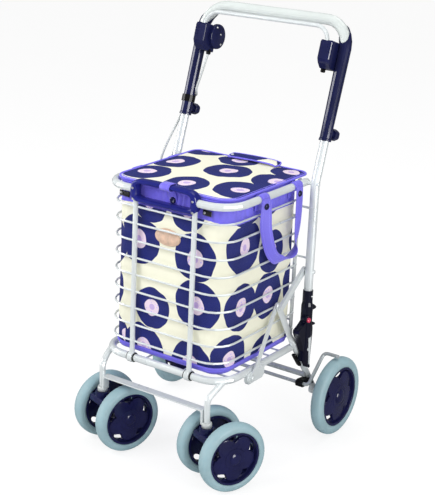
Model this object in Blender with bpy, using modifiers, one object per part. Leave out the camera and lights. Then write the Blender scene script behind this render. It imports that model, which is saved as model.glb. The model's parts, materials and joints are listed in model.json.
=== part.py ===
"""Four-wheeled shopping rollator: a wire basket cart with a cloth bag, folding posts and a hand brake.

Metres, +Z up. The casters lead towards -Y, the user walks at +Y, and +X is the user's left.
Lengths along Y are measured from the rear axle, and the last step centres the cart on the origin.
"""

import math

import bmesh
import bpy
from mathutils import Matrix, Vector

# Placing and fits
AXLE_Y = 0.1711
CLEAR = 0.0003

# Rear wheels
REAR_RADIUS = 0.089
REAR_WIDTH = 0.028
REAR_TRACK = 0.2205
REAR_HUB_RADIUS = 0.0675
REAR_AXLE_RADIUS = 0.006

# Front casters
FRONT_RADIUS = 0.075
FRONT_WIDTH = 0.030
FRONT_HUB_RADIUS = 0.0577
FRONT_AXLE_RADIUS = 0.004
TWIN_SPACING = 0.0888
STEM_X = 0.139
STEM_AHEAD = 0.0205
STEM_PIN_RADIUS = 0.005
STEM_PIN_FOOT = 0.106
TRAIL = 0.0343
FORK_TOP = 0.130
FORK_COLLAR_RADIUS = 0.0155
FORK_FOOT_RADIUS = 0.020
FORK_SHOULDER = 0.118
STEER = {"left": math.radians(22.75), "right": math.radians(18.3)}

# Basket: a ring at the bottom, a rim at the top and wires between, on leaning lines
RING_Z = 0.220
RING_X = 0.158
RING_TUBE_RADIUS = 0.008
RING_REAR_Y = -0.0955
BEND_RADIUS = 0.055
PIVOT_Y = -0.0815
REACH = 0.272
BASKET_HEIGHT = 0.3665
LEAN = math.radians(1.5)
RIM_X = 0.1587
WIRE_COUNT = 9
WIRE_X = 0.150
WIRE_RADIUS = 0.00225
WIRE_SIDES = 6
WIRE_BEND = 0.050
FLOOR_WIRES = 6
FLOOR_WIRE_RADIUS = 0.002
FLOOR_FRONT_INSET = 0.042
FLOOR_REAR_INSET = 0.0485
FLOOR_RAIL_X = 0.05
FRONT_TUBE_X = 0.075
FRONT_TUBE_RADIUS = 0.0055
FRONT_TUBE_DROP = 0.0165
EYE_RADIUS = 0.0115
EYE_HALF = 0.006
GRILLE_X = 0.1445
GRILLE_THICKNESS = 0.003
GRILLE_BARS = 6
GRILLE_BAR_RADIUS = 0.0025
GRILLE_ABOVE_RIM = 0.0044
SPACER_RADIUS = 0.0025

# Front handle, moulded, with the +X halves of its outline and its window measured from the rim
GATE_X = 0.085
GATE_DEPTH = 0.022
GATE_LEG = 0.0195
GATE_OUTLINE = [
    (GATE_X, -0.0245), (GATE_X, 0.0125), (0.0805, 0.0205), (0.0700, 0.0230), (0.0300, 0.0250),
]
GATE_WINDOW = [
    (GATE_X - GATE_LEG, -0.0135), (GATE_X - GATE_LEG, 0.0065), (GATE_X - GATE_LEG - 0.008, 0.0130),
    (0.0300, 0.0148),
]

# Legs and side linkage
LEG_RADIUS = 0.0065
LEG_FOOT = 0.1305
REAR_LEG_X = 0.1645
REAR_LEG_RADIUS = 0.0075
REAR_LEG_TOP = (-0.098, 0.2315)
FLAT_X = 0.1617
FLAT_HALF = 0.0025
KNEE = (-0.158, 0.334)
STAY_PIN_Z = 0.209
STAY_SLOPE = math.radians(49.8)
STAY_WIDTH = 0.012
STAY_THICKNESS = 0.003
STAY_FOOT_X = 0.1702
STAY_KNEE_X = 0.1571
PIN_RADIUS = 0.004
BRACE_POST_Z = 0.395
BRACE_WIDTH = 0.014
BRACE_LOW_X = 0.1652
BRACE_HIGH_X = 0.1720
BRACE_WALL = 0.0014
CROSSBAR_Z = 0.167
CROSSBAR_WIDTH = 0.018
CROSSBAR_THICKNESS = 0.003
CROSSBAR_DROP = 0.030
CROSS_TUBE = (-0.050, 0.142)
CROSS_TUBE_RADIUS = 0.006

# Posts, and lock housings measured from the pivot: a collar, a guard in front, tabs behind and a button
POST_X = 0.182
POST_RADIUS = 0.0095
POST_OFFSET = 0.0021
POST_FOOT = 0.198
ARM_LEAN = math.radians(18.2)
POST_UPPER = 0.250
HOUSING_LOW_X = 0.1725
HOUSING_HIGH_X = 0.195
COLLAR_FOOT = -0.028
COLLAR_TOP = 0.133
COLLAR_STEP = (0.098, 0.106)
COLLAR_WIDE = 0.013
COLLAR_NARROW = 0.0112
GUARD_X = (0.174, 0.1895)
GUARD_OUTLINE = [
    (0.0000, 0.0700), (-0.0198, 0.0574), (-0.0351, 0.0507), (-0.0353, 0.0440), (0.0140, -0.0500),
    (0.0175, -0.0480), (0.0150, -0.0400), (0.0205, 0.0300), (0.0205, 0.0420), (0.0150, 0.0640),
]
TAB_X = (0.182, 0.190)
TAB_OUTLINES = {
    "high": [(0.0100, 0.0854), (0.0290, 0.0860), (0.0298, 0.0900), (0.0180, 0.0985), (0.0100, 0.0997)],
    "low": [(0.0100, 0.0500), (0.0285, 0.0485), (0.0291, 0.0515), (0.0190, 0.0575), (0.0100, 0.0585)],
}
BOSS_RADIUS = 0.008
BUTTON_FROM_PIVOT = (-0.0090, 0.0705)
BUTTON_RADIUS = 0.0055
BUTTON_LENGTH = 0.0075
BUTTON_SEAT_X = 0.1920
BUTTON_BORE_X = 0.1882

# Handle, in distances along the leaning arm from the post's bend and behind it
SLEEVE_LOW = 0.091
SLEEVE_PAST_BEND = 0.030
SLEEVE_SCARF = 1.7
SLEEVE_LIP = 0.0012
SLEEVE_RADIUS_LOW = 0.0122
SLEEVE_RADIUS_HIGH = 0.0138
GRIP_RADIUS = 0.0117
GRIP_ALONG = 0.341
GRIP_CORNER = 0.055
BEND_ALONG = GRIP_ALONG - GRIP_CORNER
GRIP_FOOT = POST_UPPER + 0.006
KNOB_ALONG = 0.108
KNOB_RADIUS = 0.0125
KNOB_BEHIND = 0.0215
KNOB_LENGTH = 0.017
SHANK_RADIUS = 0.003
SHANK_FOOT = POST_RADIUS + 0.0017
CLIP_ALONG = (0.120, 0.135)
CABLE_RADIUS = 0.0025
CABLE_OFFSET = 0.0118
# The loose cable beside the basket: past the post, from the rear axle, and up the basket by its height
CABLE_RUN = [
    (0.0145, -0.030, 1.2551), (0.0175, -0.044, 1.1869), (0.0240, -0.058, 1.1132), (0.0330, -0.067, 1.0368),
    (0.0420, -0.072, 0.9550), (0.0465, -0.074, 0.8595), (0.0470, -0.073, 0.7367), (0.0450, -0.071, 0.6003),
    (0.0400, -0.071, 0.4502), (0.0330, -0.075, 0.3001), (0.0260, -0.084, 0.1637), (0.0210, -0.094, 0.0409),
]
# Its end under the basket, in world x, y and z
CABLE_TAIL = [
    (0.1980, -0.101, 0.200), (0.1880, -0.103, 0.172), (0.1720, -0.099, 0.154), (0.1530, -0.090, 0.146),
    (0.1370, -0.0785, 0.1455), (0.1310, -0.0765, 0.1460),
]

# Hand brake
BAR_AHEAD = 0.0335
BAR_X = 0.1565
BAR_TOP = 0.3211
BAR_PIVOT = 0.262
BAR_RADIUS = 0.0045
BAR_CORNER = 0.032
BAR_PIN_RADIUS = 0.002
BAR_EYE_RADIUS = 0.0058
BRACKET_X = (0.1455, 0.1735)
BRACKET_OUTLINE = [
    (-0.0260, 0.0050), (-0.0260, -0.0250), (-0.0170, -0.0360), (-0.0080, -0.0415), (0.0280, -0.0420),
    (0.0315, -0.0390), (0.0315, -0.0130), (0.0240, 0.0050),
]
DISC_FROM_PIVOT = (0.0097, 0.0020)
DISC_X = (0.1405, 0.1460)
DISC_RADIUS = 0.0275
ROD_RADIUS = 0.004
ROD_YZ = (-0.0615, 0.125)
BEARING_X = (0.1575, 0.1735)
TYRE_GAP = REAR_TRACK - REAR_WIDTH / 2 - BEARING_X[1]
ROD_ARM_X = BEARING_X[1] + TYRE_GAP * 0.38
ROD_TIP_X = BEARING_X[1] + TYRE_GAP * 0.50
ROD_TIP = (-0.006, 0.1855)
ROD_END_X = REAR_TRACK + 0.0065

# Bag and lid
BAG_X = 0.1445
BAG_WALL = 0.003
BAG_FRONT_GAP = 0.0125
BAG_REAR_GAP = 0.0062
BAG_FLOOR_GAP = 0.0045
BAG_ABOVE_RIM = 0.008
BAG_CORNER = 0.040
BAG_REAR_CORNER = 0.012
LID_X = 0.150
LID_FRONT_GAP = 0.0014
LID_BEHIND_RIM = 0.0334
LID_THICKNESS = 0.0075
LID_CORNER = 0.030
LID_REAR_CORNER = 0.012

# Colours: base colour, metallic, roughness
WHITE = ((0.80, 0.80, 0.78), 0.0, 0.35)
NAVY = ((0.018, 0.026, 0.075), 0.0, 0.45)
BLACK = ((0.012, 0.012, 0.014), 0.0, 0.5)
TYRE = ((0.36, 0.43, 0.45), 0.0, 0.75)
RED = ((0.62, 0.05, 0.08), 0.0, 0.4)
CLOTH = ((0.78, 0.74, 0.66), 0.0, 0.9)
LID_BLUE = ((0.05, 0.06, 0.16), 0.0, 0.9)

SIDES = {"left": 1, "right": -1}
RIM_Z = RING_Z + BASKET_HEIGHT
WIRE_STEP = BASKET_HEIGHT / (WIRE_COUNT + 1)
STEM_Y = PIVOT_Y - REACH - STEM_AHEAD
BAG_BOTTOM = RING_Z + BAG_FLOOR_GAP
BAG_TOP = RIM_Z + BAG_ABOVE_RIM
LID_LOW = RIM_Z + RING_TUBE_RADIUS + CLEAR


# Scene helpers

def clear_scene():
    for obj in list(bpy.data.objects):
        bpy.data.objects.remove(obj, do_unlink=True)


def new_collection(name, hidden=False):
    made = bpy.data.collections.new(name)
    bpy.context.scene.collection.children.link(made)
    made.hide_render = hidden
    return made


def material(name, finish):
    colour, metallic, roughness = finish
    made = bpy.data.materials.new(name)
    made.use_nodes = True
    shader = made.node_tree.nodes["Principled BSDF"]
    shader.inputs["Base Color"].default_value = (*colour, 1)
    shader.inputs["Metallic"].default_value = metallic
    shader.inputs["Roughness"].default_value = roughness
    made.diffuse_color = (*colour, 1)
    return made


def finish(node, look):
    node.data.materials.clear()
    node.data.materials.append(material(node.name + "_finish", look))
    return node


def from_bmesh(name, bm):
    bmesh.ops.recalc_face_normals(bm, faces=bm.faces)
    mesh = bpy.data.meshes.new(name)
    bm.to_mesh(mesh)
    bm.free()
    obj = bpy.data.objects.new(name, mesh)
    CART.objects.link(obj)
    return obj


def operands(node, operation, pieces):
    """Adds one exact Boolean whose pieces stay editable in a hidden collection of their own."""
    group = new_collection(f"{node.name}_{operation.lower()}_{len(node.modifiers)}", hidden=True)
    for piece in pieces:
        if piece.name in CART.objects:
            CART.objects.unlink(piece)
        group.objects.link(piece)
        piece.hide_render = True
        piece.display_type = "WIRE"
    modifier = node.modifiers.new(operation.lower(), "BOOLEAN")
    modifier.operation = operation
    modifier.operand_type = "COLLECTION"
    modifier.collection = group
    modifier.solver = "EXACT"
    return node


def join(node, *pieces):
    return operands(node, "UNION", pieces)


def cut(node, *cutters):
    return operands(node, "DIFFERENCE", cutters)


def moved(obj, matrix):
    obj.data.transform(matrix)
    return obj


def pivot_at(obj, point):
    """Puts the object's origin on its joint without moving its shape."""
    point = Vector(point)
    obj.data.transform(Matrix.Translation(-point))
    obj.location = point
    return obj


# Shape helpers

def loft(name, loops):
    """A closed solid through loops of equally many points."""
    bm = bmesh.new()
    rings = [[bm.verts.new(point) for point in loop] for loop in loops]
    for low, high in zip(rings, rings[1:]):
        for i in range(len(low)):
            j = (i + 1) % len(low)
            bm.faces.new((low[i], low[j], high[j], high[i]))
    bm.faces.new(rings[0])
    bm.faces.new(rings[-1])
    return from_bmesh(name, bm)


def mirrored(half):
    """A closed (x, z) outline from its +X half, which runs from the bottom up."""
    return half + [(-x, z) for x, z in reversed(half)]


def slab(name, outline, low_x, high_x):
    """A (y, z) outline, extruded along X."""
    return loft(name, [[(x, y, z) for y, z in outline] for x in (low_x, high_x)])


def block(name, low, high):
    outline = [(low[1], low[2]), (high[1], low[2]), (high[1], high[2]), (low[1], high[2])]
    return slab(name, outline, low[0], high[0])


def circle(radius, sides, centre=(0, 0), start=0.0, sweep=math.tau):
    count = sides if sweep == math.tau else sides + 1
    return [
        (
            centre[0] + radius * math.cos(start + sweep * i / sides),
            centre[1] + radius * math.sin(start + sweep * i / sides),
        )
        for i in range(count)
    ]


def stadium(start, end, radius, sides=6):
    """The outline of a strip with round ends between two (y, z) points."""
    heading = math.atan2(end[1] - start[1], end[0] - start[0])
    first = circle(radius, sides, end, heading - math.pi / 2, math.pi)
    return first + circle(radius, sides, start, heading + math.pi / 2, math.pi)


def bore(radius, sides):
    """The radius of a faceted hole that clears a round pin."""
    return (radius + CLEAR) / math.cos(math.pi / sides)


def rod(name, start, end, radius, sides=12):
    """A straight round bar between two points."""
    start, end = Vector(start), Vector(end)
    turn = (end - start).to_track_quat("Z", "Y").to_matrix().to_4x4()
    length = (end - start).length
    loops = [[(x, y, z) for x, y in circle(radius, sides)] for z in (0, length)]
    return moved(loft(name, loops), Matrix.Translation(start) @ turn)


def across(name, yz, low_x, high_x, radius, sides=12):
    """A round bar along X."""
    return slab(name, circle(radius, sides, yz), low_x, high_x)


def fillet(before, corner, after, radius, steps):
    u = (before - corner).normalized()
    v = (after - corner).normalized()
    half = u.angle(v) / 2
    centre = corner + (u + v).normalized() * radius / math.sin(half)
    first = (corner + u * radius / math.tan(half) - centre).normalized()
    last = (corner + v * radius / math.tan(half) - centre).normalized()
    return [centre + first.slerp(last, i / steps) * radius for i in range(steps + 1)]


def rounded(path, radii, steps):
    points = [Vector(point) for point in path]
    out = [points[0]]
    for i, radius in enumerate(radii):
        out += fillet(*points[i : i + 3], radius, steps)
    return out + [points[-1]]


def tube(name, points, radius, sides=12):
    """A round tube along points, made as a bevelled curve and kept as a mesh so that it can be cut."""
    curve = bpy.data.curves.new(name + "_path", "CURVE")
    curve.dimensions = "3D"
    curve.bevel_depth = radius
    curve.bevel_resolution = (sides - 4) // 2
    curve.use_fill_caps = True
    spline = curve.splines.new("POLY")
    spline.points.add(len(points) - 1)
    for slot, point in zip(spline.points, points):
        slot.co = (*point, 1)
    guide = bpy.data.objects.new(name + "_path", curve)
    CART.objects.link(guide)
    mesh = bpy.data.meshes.new_from_object(guide)
    bm = bmesh.new()
    bm.from_mesh(mesh)
    bmesh.ops.remove_doubles(bm, verts=bm.verts, dist=1e-6)
    bpy.data.objects.remove(guide)
    bpy.data.meshes.remove(mesh)
    return from_bmesh(name, bm)


def turned(name, profile, steps, matrix, closed=True):
    """A profile of (radius, height) points turned round local Z by a Screw modifier."""
    mesh = bpy.data.meshes.new(name)
    ends = [(i, i + 1) for i in range(len(profile) - 1)]
    if closed:
        ends.append((len(profile) - 1, 0))
    mesh.from_pydata([(r, 0, z) for r, z in profile], ends, [])
    obj = bpy.data.objects.new(name, mesh)
    CART.objects.link(obj)
    obj.matrix_world = matrix
    screw = obj.modifiers.new("turn", "SCREW")
    screw.steps = steps
    screw.render_steps = steps
    screw.use_merge_vertices = True
    screw.merge_threshold = 0.00001
    return obj


def frame_on(origin, z_axis, x_axis):
    z_axis, x_axis = Vector(z_axis).normalized(), Vector(x_axis).normalized()
    y_axis = z_axis.cross(x_axis)
    turn = Matrix((x_axis, y_axis, z_axis)).transposed().to_4x4()
    return Matrix.Translation(origin) @ turn


# Lines that pieces share

def rear_line(z):
    """The leaning line of rear pins, which runs through the posts' pivot."""
    return PIVOT_Y + (z - RING_Z) * math.tan(LEAN)


def front_line(z):
    return rear_line(z) - REACH


def post_line(z):
    return rear_line(z) + POST_OFFSET


def leg_line(z):
    """The rear leg's centre line between its axle and the foot of its flattened top."""
    return REAR_LEG_TOP[0] * (z - REAR_RADIUS) / (REAR_LEG_TOP[1] - REAR_RADIUS)


def wire_z(number):
    return RIM_Z - number * WIRE_STEP


def arm(x, along, behind=0.0):
    """A point by its distance up the leaning arm and its distance behind the arm's centre line."""
    y = post_line(RIM_Z) + along * math.sin(ARM_LEAN) + behind * math.cos(ARM_LEAN)
    z = RIM_Z + along * math.cos(ARM_LEAN) - behind * math.sin(ARM_LEAN)
    return Vector((x, y, z))


def arm_outline(points):
    return [tuple(arm(0, along, behind))[1:] for along, behind in points]


def wide_leg(name, side):
    """The rear leg with its clearance, which copes whatever meets it."""
    radius = bore(REAR_LEG_RADIUS, 12)
    low, high = REAR_RADIUS - 0.02, REAR_LEG_TOP[1] + 0.03
    ends = [(side * REAR_LEG_X, leg_line(z), z) for z in (low, high)]
    return rod(name, *ends, radius, 12)


# Wheels

def star(lobes, inner, outer, points_per_lobe=4):
    """An outline with soft lobes."""
    count = lobes * points_per_lobe
    outline = []
    for i in range(count):
        turn = math.tau * i / count
        swell = (1 + math.cos(lobes * turn)) / 2
        outline.append((turn, inner + (outer - inner) * swell**0.8))
    return [(r * math.cos(t), r * math.sin(t)) for t, r in outline]


def wheel_hub(name, hub_radius, half_width, axle_radius, steps, matrix):
    """A dished hub with a raised five-lobed boss and a slot between each two lobes."""
    rim_inner = hub_radius - 0.0065
    boss = hub_radius * 0.27
    hole = bore(axle_radius, 14)
    web_top, web_low = half_width * 0.25, half_width * 0.25 - 0.005
    profile = [
        (hole, half_width),
        (boss, half_width),
        (boss + 0.003, web_top),
        (rim_inner - 0.003, web_top),
        (rim_inner, half_width),
        (hub_radius, half_width),
        (hub_radius, -half_width),
        (rim_inner, -half_width),
        (rim_inner - 0.003, web_low),
        (boss, web_low),
        (boss, -half_width),
        (hole, -half_width),
    ]
    hub = turned(name, profile, steps, matrix)
    lobes = []
    for z, scale in ((web_top - 0.001, 1.0), (half_width * 0.62, 0.93)):
        lobes.append([(x * scale, y * scale, z) for x, y in star(5, hub_radius * 0.42, hub_radius * 0.74)])
    raised = moved(loft(name + "_star", lobes), matrix)
    clear_bore = [[(x, y, z) for x, y in circle(hole + 0.0001, 14)] for z in (-0.03, 0.03)]
    slots = [moved(loft(name + "_bore", clear_bore), matrix)]
    middle = hub_radius * 0.70
    for i in range(5):
        centre = math.tau * (i + 0.5) / 5
        spread = 0.34
        outline = []
        for j in range(8):
            turn = math.tau * j / 8
            angle = centre + spread * math.cos(turn)
            radius = middle + hub_radius * 0.10 * math.sin(turn)
            outline.append((radius * math.cos(angle), radius * math.sin(angle)))
        loops = [[(x, y, z) for x, y in outline] for z in (-0.03, 0.03)]
        slots.append(moved(loft(f"{name}_slot_{i}", loops), matrix))
    join(hub, raised)
    cut(hub, *slots)
    return finish(hub, NAVY)


def wheel_tyre(name, radius, half_width, hub_radius, steps, matrix):
    """A solid tyre with rounded shoulders."""
    inner = hub_radius + CLEAR
    profile = [
        (inner, half_width),
        (radius - 0.0075, half_width),
        (radius - 0.0022, half_width - 0.0035),
        (radius, half_width - 0.0085),
        (radius, 0.0085 - half_width),
        (radius - 0.0022, 0.0035 - half_width),
        (radius - 0.0075, -half_width),
        (inner, -half_width),
    ]
    return finish(turned(name, profile, steps, matrix), TYRE)


def rear_wheel(side_name, side):
    matrix = frame_on((side * REAR_TRACK, 0, REAR_RADIUS), (side, 0, 0), (0, 0, -1))
    half = REAR_WIDTH / 2
    wheel_hub(f"rear_hub_{side_name}", REAR_HUB_RADIUS, half - 0.001, REAR_AXLE_RADIUS, 30, matrix)
    wheel_tyre(f"rear_tyre_{side_name}", REAR_RADIUS, half, REAR_HUB_RADIUS, 30, matrix)


def caster_frame(side_name, side):
    """Local X is the axle, local Y trails, and the origin is under the stem at the floor."""
    turn = STEER[side_name]
    axle = (math.cos(turn), -math.sin(turn), 0)
    return frame_on((side * STEM_X, STEM_Y, 0), (0, 0, 1), axle)


def caster(side_name, side):
    frame = caster_frame(side_name, side)
    fork_node = caster_fork(f"caster_fork_{side_name}", frame)
    pivot = (side * STEM_X, STEM_Y, FORK_TOP)
    pivot_at(fork_node, pivot)
    half = FRONT_WIDTH / 2
    for place, sign in (("outer", side), ("inner", -side)):
        centre = frame @ Vector((sign * TWIN_SPACING / 2, TRAIL, FRONT_RADIUS))
        axis = frame.to_3x3() @ Vector((sign, 0, 0))
        matrix = frame_on(centre, axis, (0, 0, -1))
        name = f"{side_name}_{place}"
        wheel_hub(f"caster_hub_{name}", FRONT_HUB_RADIUS, half - 0.001, FRONT_AXLE_RADIUS, 25, matrix)
        wheel_tyre(f"caster_tyre_{name}", FRONT_RADIUS, half, FRONT_HUB_RADIUS, 25, matrix)


def caster_fork(name, frame):
    """A moulded body between the twin wheels, with a collar for the leg and an axle through it."""
    half = TWIN_SPACING / 2 - FRONT_WIDTH / 2 - 0.003
    axle = (TRAIL, FRONT_RADIUS)
    outline = circle(FORK_FOOT_RADIUS, 10, axle, -math.pi * 0.80, math.pi * 1.15)
    outline += [
        (0.030, FORK_SHOULDER - 0.010), (0.017, FORK_SHOULDER), (-0.017, FORK_SHOULDER),
        (-0.018, FORK_SHOULDER - 0.012),
    ]
    low = [(-half, y, z) for y, z in outline]
    high = [(half, y, z) for y, z in outline]
    body = moved(loft(name, [low, high]), frame)
    body.modifiers.new("edges", "BEVEL").width = 0.003
    body.modifiers["edges"].segments = 1
    body.modifiers["edges"].limit_method = "ANGLE"
    body.modifiers["edges"].angle_limit = math.radians(50)
    collar = rod(name + "_collar", (0, 0, FORK_SHOULDER - 0.006), (0, 0, FORK_TOP), FORK_COLLAR_RADIUS, 16)
    end = TWIN_SPACING / 2 + FRONT_WIDTH / 2 + 0.001
    axle_bar = across(name + "_axle", axle, -end, end, FRONT_AXLE_RADIUS, 12)
    spacer = across(name + "_spacer", axle, -half - 0.0022, half + 0.0022, 0.009, 12)
    join(body, *[moved(piece, frame) for piece in (collar, axle_bar, spacer)])
    ends = (0, 0, STEM_PIN_FOOT - 0.002), (0, 0, FORK_TOP + 0.01)
    socket = rod(name + "_socket", *ends, bore(STEM_PIN_RADIUS, 12), 12)
    cut(body, moved(socket, frame))
    return finish(body, NAVY)


# Basket frame

def bottom_ring():
    """The bottom ring with its floor wires, front legs, stem pins and stay plates."""
    front = front_line(RING_Z)
    path = [(-RING_X, RING_REAR_Y), (-RING_X, front), (RING_X, front), (RING_X, RING_REAR_Y)]
    points = rounded([(x, y, RING_Z) for x, y in path], [BEND_RADIUS] * 2, 5)
    ring = tube("bottom_ring", points, RING_TUBE_RADIUS, 12)
    pieces = []
    first, last = PIVOT_Y - FLOOR_REAR_INSET, front + FLOOR_FRONT_INSET
    for i in range(FLOOR_WIRES):
        y = first + (last - first) * i / (FLOOR_WIRES - 1)
        ends = (-RING_X, y, RING_Z + 0.0007), (RING_X, y, RING_Z + 0.0007)
        pieces.append(rod(f"floor_wire_{i}", *ends, FLOOR_WIRE_RADIUS, 6))
    for x in (-FLOOR_RAIL_X, FLOOR_RAIL_X):
        ends = (x, first + 0.0043, RING_Z - 0.0019), (x, front + 0.0013, RING_Z - 0.0019)
        pieces.append(rod(f"floor_rail_{x}", *ends, FLOOR_WIRE_RADIUS, 6))
    for side_name, side in SIDES.items():
        pieces += front_leg(side_name, side) + stay_plate(side_name, side)
    join(ring, *pieces)
    cut(ring, *[wide_leg(f"cope_{name}", side) for name, side in SIDES.items()])
    return finish(ring, WHITE)


def front_leg(side_name, side):
    stem = (side * STEM_X, STEM_Y)
    front = front_line(RING_Z)
    path = [
        (side * (STEM_X + 0.0085), front + 0.0235, RING_Z - 0.001),
        (side * (STEM_X + 0.0055), front + 0.0015, RING_Z - 0.013),
        (*stem, RING_Z - 0.028),
        (*stem, LEG_FOOT),
    ]
    leg = tube(f"front_leg_{side_name}", rounded(path, [0.02, 0.018], 3), LEG_RADIUS, 12)
    ends = (*stem, LEG_FOOT + 0.01), (*stem, STEM_PIN_FOOT)
    pin = rod(f"stem_{side_name}", *ends, STEM_PIN_RADIUS, 12)
    return [leg, pin]


def stay_pin():
    """The (y, z) of the pin that holds the stay's foot."""
    return KNEE[0] + (STAY_PIN_Z - KNEE[1]) / math.tan(STAY_SLOPE), STAY_PIN_Z


def stay_plate(side_name, side):
    y, z = stay_pin()
    outline = [
        (y - 0.012, z - 0.006),
        (y - 0.007, z - 0.013),
        (y + 0.043, z - 0.013),
        (y + 0.050, z - 0.006),
        (y + 0.050, z + 0.013),
        (y - 0.012, z + 0.013),
    ]
    plate = slab(f"stay_plate_{side_name}", outline, side * 0.1600, side * 0.1684)
    pin = across(f"stay_pin_{side_name}", (y, z), side * 0.1650, side * 0.1735, PIN_RADIUS, 12)
    return [plate, pin]


def caster_crossbar():
    """The flat bar between the front legs, its ends bent down beside them."""
    end = STEM_X - LEG_RADIUS - CLEAR - 0.0002
    half = CROSSBAR_WIDTH / 2
    low, high = CROSSBAR_Z - CROSSBAR_THICKNESS / 2, CROSSBAR_Z + CROSSBAR_THICKNESS / 2
    inner = end - CROSSBAR_THICKNESS
    foot = CROSSBAR_Z - CROSSBAR_DROP
    outline = mirrored([(inner - 0.003, low), (inner, low - 0.003), (inner, foot), (end, foot), (end, high)])
    loops = [[(x, y, z) for x, z in outline] for y in (STEM_Y - half, STEM_Y + half)]
    return finish(loft("caster_crossbar", loops), WHITE)


def side_stay(side_name, side):
    """A flat strip from the ring's plate up to the knee."""
    along = Vector((0, math.cos(STAY_SLOPE), math.sin(STAY_SLOPE)))
    pin_y, pin_z = stay_pin()
    foot = Vector((0, pin_y, pin_z))
    knee = Vector((0, *KNEE))
    stations = [
        (foot - along * 0.0120, STAY_FOOT_X, 0.5),
        (foot - along * 0.0100, STAY_FOOT_X, 0.85),
        (foot - along * 0.0065, STAY_FOOT_X, 1),
        (foot + along * 0.026, STAY_FOOT_X, 1),
        (knee - along * 0.012, STAY_KNEE_X, 1),
        (knee + along * 0.002, STAY_KNEE_X, 1),
        (knee + along * 0.0055, STAY_KNEE_X, 0.8),
        (knee + along * 0.0075, STAY_KNEE_X, 0.4),
    ]
    normal = Vector((0, -math.sin(STAY_SLOPE), math.cos(STAY_SLOPE)))
    loops = []
    for centre, x, share in stations:
        loop = []
        for dx, dn in ((-1, -1), (1, -1), (1, 1), (-1, 1)):
            point = centre + normal * dn * share * STAY_WIDTH / 2
            loop.append((side * (x + dx * STAY_THICKNESS / 2), point.y, point.z))
        loops.append(loop)
    stay = loft(f"side_stay_{side_name}", loops)
    hole = bore(PIN_RADIUS, 12)
    cut(
        stay,
        across(f"stay_hole_{side_name}", (pin_y, pin_z), side * 0.16, side * 0.18, hole, 12),
        across(f"knee_hole_{side_name}", KNEE, side * 0.15, side * 0.16, hole, 12),
    )
    return finish(stay, WHITE)


def rear_leg(side_name, side):
    """A tube from the axle, flattened at its top to a tongue that carries the knee pin."""
    top_y, top_z = REAR_LEG_TOP
    rise = Vector((top_y, top_z - REAR_RADIUS)).normalized()
    tongue = Vector((KNEE[0] - top_y, KNEE[1] - top_z)).normalized()
    stations = [
        ((0, REAR_RADIUS), rise, REAR_LEG_X, 0.0072, 0.0072),
        ((top_y, top_z), rise, REAR_LEG_X, REAR_LEG_RADIUS, REAR_LEG_RADIUS),
        ((top_y + tongue.x * 0.022, top_z + tongue.y * 0.022), tongue, FLAT_X, FLAT_HALF, 0.0088),
        (KNEE, tongue, FLAT_X, FLAT_HALF, 0.0088),
        ((KNEE[0] + tongue.x * 0.006, KNEE[1] + tongue.y * 0.006), tongue, FLAT_X, FLAT_HALF, 0.0062),
        ((KNEE[0] + tongue.x * 0.0085, KNEE[1] + tongue.y * 0.0085), tongue, FLAT_X, FLAT_HALF, 0.002),
    ]
    loops = []
    for (y, z), way, x, half_x, half_n in stations:
        loop = []
        for c, s in circle(1, 12):
            loop.append((side * (x + half_x * c), y - way.y * half_n * s, z + way.x * half_n * s))
        loops.append(loop)
    leg = loft(f"rear_leg_{side_name}", loops)
    boss = across(f"axle_boss_{side_name}", (0, REAR_RADIUS), side * 0.1575, side * 0.1720, 0.0115, 16)
    end = REAR_TRACK + REAR_WIDTH / 2 + 0.0035
    axle = across(f"axle_{side_name}", (0, REAR_RADIUS), side * 0.165, side * end, REAR_AXLE_RADIUS, 16)
    inner_end = REAR_TRACK - REAR_WIDTH / 2 + 0.0005
    shoulder = across(f"shoulder_{side_name}", (0, REAR_RADIUS), side * 0.165, side * inner_end, 0.0095, 16)
    pivot = (PIVOT_Y, RING_Z)
    lug = slab(f"lug_{side_name}", circle(0.0115, 14, pivot), side * 0.1660, side * 0.1718)
    pin = across(f"post_pin_{side_name}", pivot, side * 0.168, side * (HOUSING_HIGH_X - 0.0005), PIN_RADIUS)
    knee_pin = across(f"knee_pin_{side_name}", KNEE, side * 0.1553, side * 0.1648, PIN_RADIUS, 12)
    join(leg, boss, axle, shoulder, lug, pin, knee_pin)
    return finish(leg, WHITE)


def rear_cross_tube():
    end = REAR_LEG_X + 0.004
    bar = across("rear_cross_tube", CROSS_TUBE, -end, end, CROSS_TUBE_RADIUS, 12)
    cut(bar, *[wide_leg(f"tube_cope_{name}", side) for name, side in SIDES.items()])
    return finish(bar, WHITE)


def rod_bearing(side_name, side):
    """A moulded block on the front of the rear leg that carries the brake rod."""
    y, z = ROD_YZ
    outline = circle(0.0085, 8, ROD_YZ, math.pi * 0.55, math.pi)
    outline += [(leg_line(0.113) - 0.002, 0.113), (leg_line(0.129) - 0.002, 0.129)]
    bearing = slab(f"rod_bearing_{side_name}", outline, side * BEARING_X[0], side * BEARING_X[1])
    hole = across(f"bearing_hole_{side_name}", ROD_YZ, side * 0.15, side * 0.18, bore(ROD_RADIUS, 12), 12)
    cut(bearing, hole, wide_leg(f"bearing_cope_{side_name}", side))
    return finish(bearing, BLACK)


# Posts, locks and braces

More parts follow.
